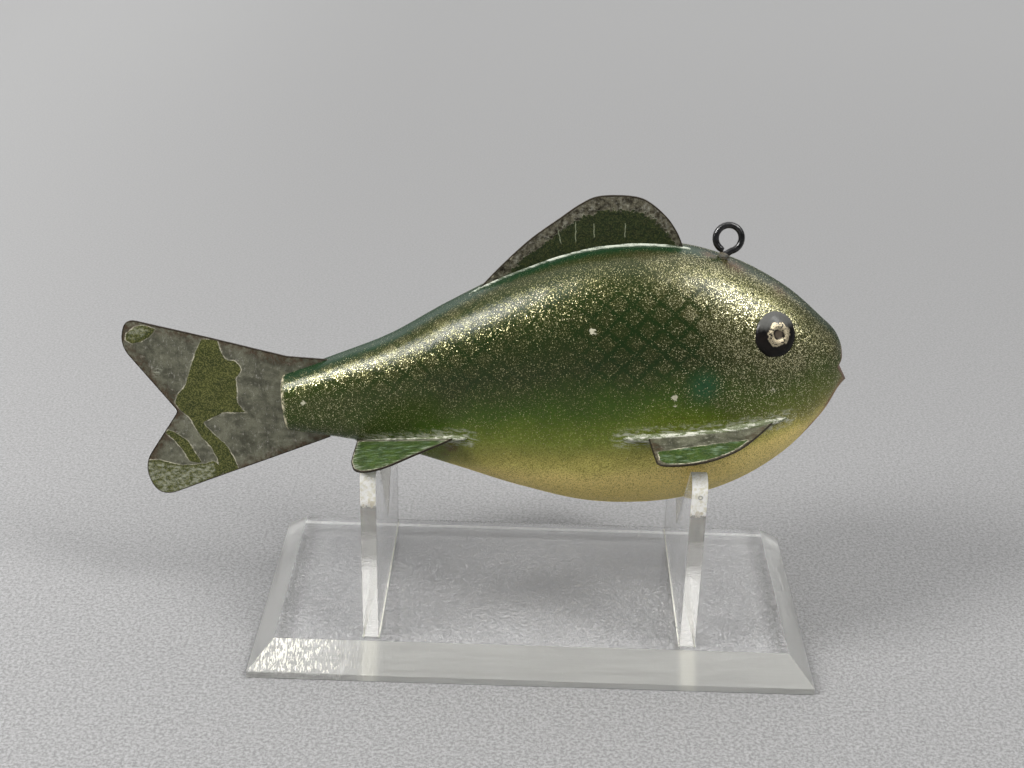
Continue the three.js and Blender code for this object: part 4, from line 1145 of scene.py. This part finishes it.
def bevelFinish(name, colour, transmission, front):
    finish = acrylic(name, 0.35, colour, transmission)
    where = finish.places()
    x, _, z = parts(where)
    ripple = speckle(where, 0.55, 4.0, 0.6, stretch=(2.2, 0.5, 0.5))
    strong = ease(x, -30, -64, 0.03, 1.0 if front else 0.03)
    streaks = speckle(where, 0.9, 4.0, 0.7, stretch=(0.06, 1.5, 1.5) if front else (1.5, 0.06, 1.5))
    # painted glints: pale sparkle painted on the bevels, thickest at the front bevel's left end
    glints = speckle(where, 1.5, 4.0, 0.7, stretch=(1.6, 0.45, 0.45)) + strong * 0.19
    glints = ease(glints, 0.67, 0.76) * ease(z, stand["lip"], stand["lip"] + 0.5)
    # a painted sheen on the bevels under each upright, light brought down through the uprights
    sheenUnderUprights = (ease(abs(x - upright), 3.2, 0.8, 0, 0.3) for upright in (stand["headX"], stand["tailX"]))
    glints = largest(glints, *sheenUnderUprights)
    clear = ease(streaks, 0.3, 0.7, transmission - 0.08, transmission + 0.08)
    finish.give(colour=blend(glints, colour, (0.84, 0.82, 0.70)), normal=relief(ripple * strong, 0.5, 2 * mm),
                roughness=ease(strong, 0.0, 1.0, 0.36, 0.2), transmission=clear * ease(glints, 0, 1, 1, 0.35))
    return finish.material


clear, sawn = clearFinish(), sawnFinish()
# painted shade: the front bevel is a darker grey than the side bevels; both are milky
frontBevel = bevelFinish("milkyBevelPaintedShade", (0.46, 0.46, 0.435), 0.55, front=True)
sideBevel = bevelFinish("hazyBevel", (0.86, 0.86, 0.83), 0.84, front=False)
glue = {"Roughen": 0.25 * mm, "Lump Size": 0.9 * mm, "Step": 0.5 * mm,
        "Finish": puttyFinish("glueSeam", (0.80, 0.79, 0.70), (0.30, 0.30, 0.27), 0.60)}


def softenEdges(piece, name):
    bevel = piece.modifiers.new("edges", "BEVEL")
    bevel.width = stand["edgeRound"] * mm
    bevel.segments = stand["edgeSteps"]
    bevel.limit_method = "ANGLE"
    bevel.angle_limit = math.radians(stand["edgeAngle"])
    bevel.harden_normals = True
    return plainMesh(piece, name)


def footPiece():
    halfLength, halfDepth = stand["length"] / 2, stand["depth"] / 2 + stand["margin"] + stand["bevel"]
    points = []
    for z, inset in ((0, 0), (stand["lip"], 0), (stand["height"], stand["bevel"])):
        for x, y in ((-1, -1), (1, -1), (1, 1), (-1, 1)):
            points.append((x * (halfLength - inset), y * (halfDepth - inset), z))
    faces = [(3, 2, 1, 0), (8, 9, 10, 11)]
    for ring in (0, 4):
        faces += [(ring + step, ring + (step + 1) % 4, ring + 4 + (step + 1) % 4, ring + 4 + step) for step in range(4)]
    finishes = [0, 0, 1, 0, 0, 0, 1, 2, 0, 2]
    piece = addPiece("foot", points, faces, [clear, frontBevel, sideBevel], finishes)
    keep(softenEdges(piece, "standFoot"), "acrylic", "stand_foot")


def uprightPiece(name, x, node):
    half, radius, halfThickness = stand["depth"] / 2, stand["prongRadius"], stand["thickness"] / 2
    base, top = stand["height"] + stand["glueLine"], stand["height"] + stand["uprightHeight"]
    turn = np.linspace(0, math.pi / 2 + math.atan(stand["notchSlope"]), 28)
    arc = np.stack([half - radius + radius * np.cos(turn), top - radius + radius * np.sin(turn)], 1)
    outline = np.concatenate([[(-half, base), (half, base)], arc, [(0, stand["notchFoot"])], arc[::-1] * [-1, 1]])
    count = len(outline)
    points = [(x + side * halfThickness, y, z) for side in (1, -1) for y, z in outline]
    faces = [tuple(range(count)), tuple(range(2 * count - 1, count - 1, -1))]
    faces += [(step, step + count, (step + 1) % count + count, (step + 1) % count) for step in range(count)]
    piece = addPiece("plate", points, faces, [clear, sawn], [0, 0] + [1] * count)
    keep(softenEdges(piece, name), "acrylic", node)
    for word, side in (("front", 1), ("back", -1)):
        height = stand["height"] + stand["seamRise"]
        path = [(x + side * halfThickness, y, height) for y in np.linspace(-half, half, 100)]
        sweep(name + "Seam." + word, path - offset, np.full(len(path), stand["seamGirth"]), beadTree, glue, "acrylic")


footPiece()
uprightPiece("uprightHead", stand["headX"], "upright_head")
uprightPiece("uprightTail", stand["tailX"], "upright_tail")
print("stand")
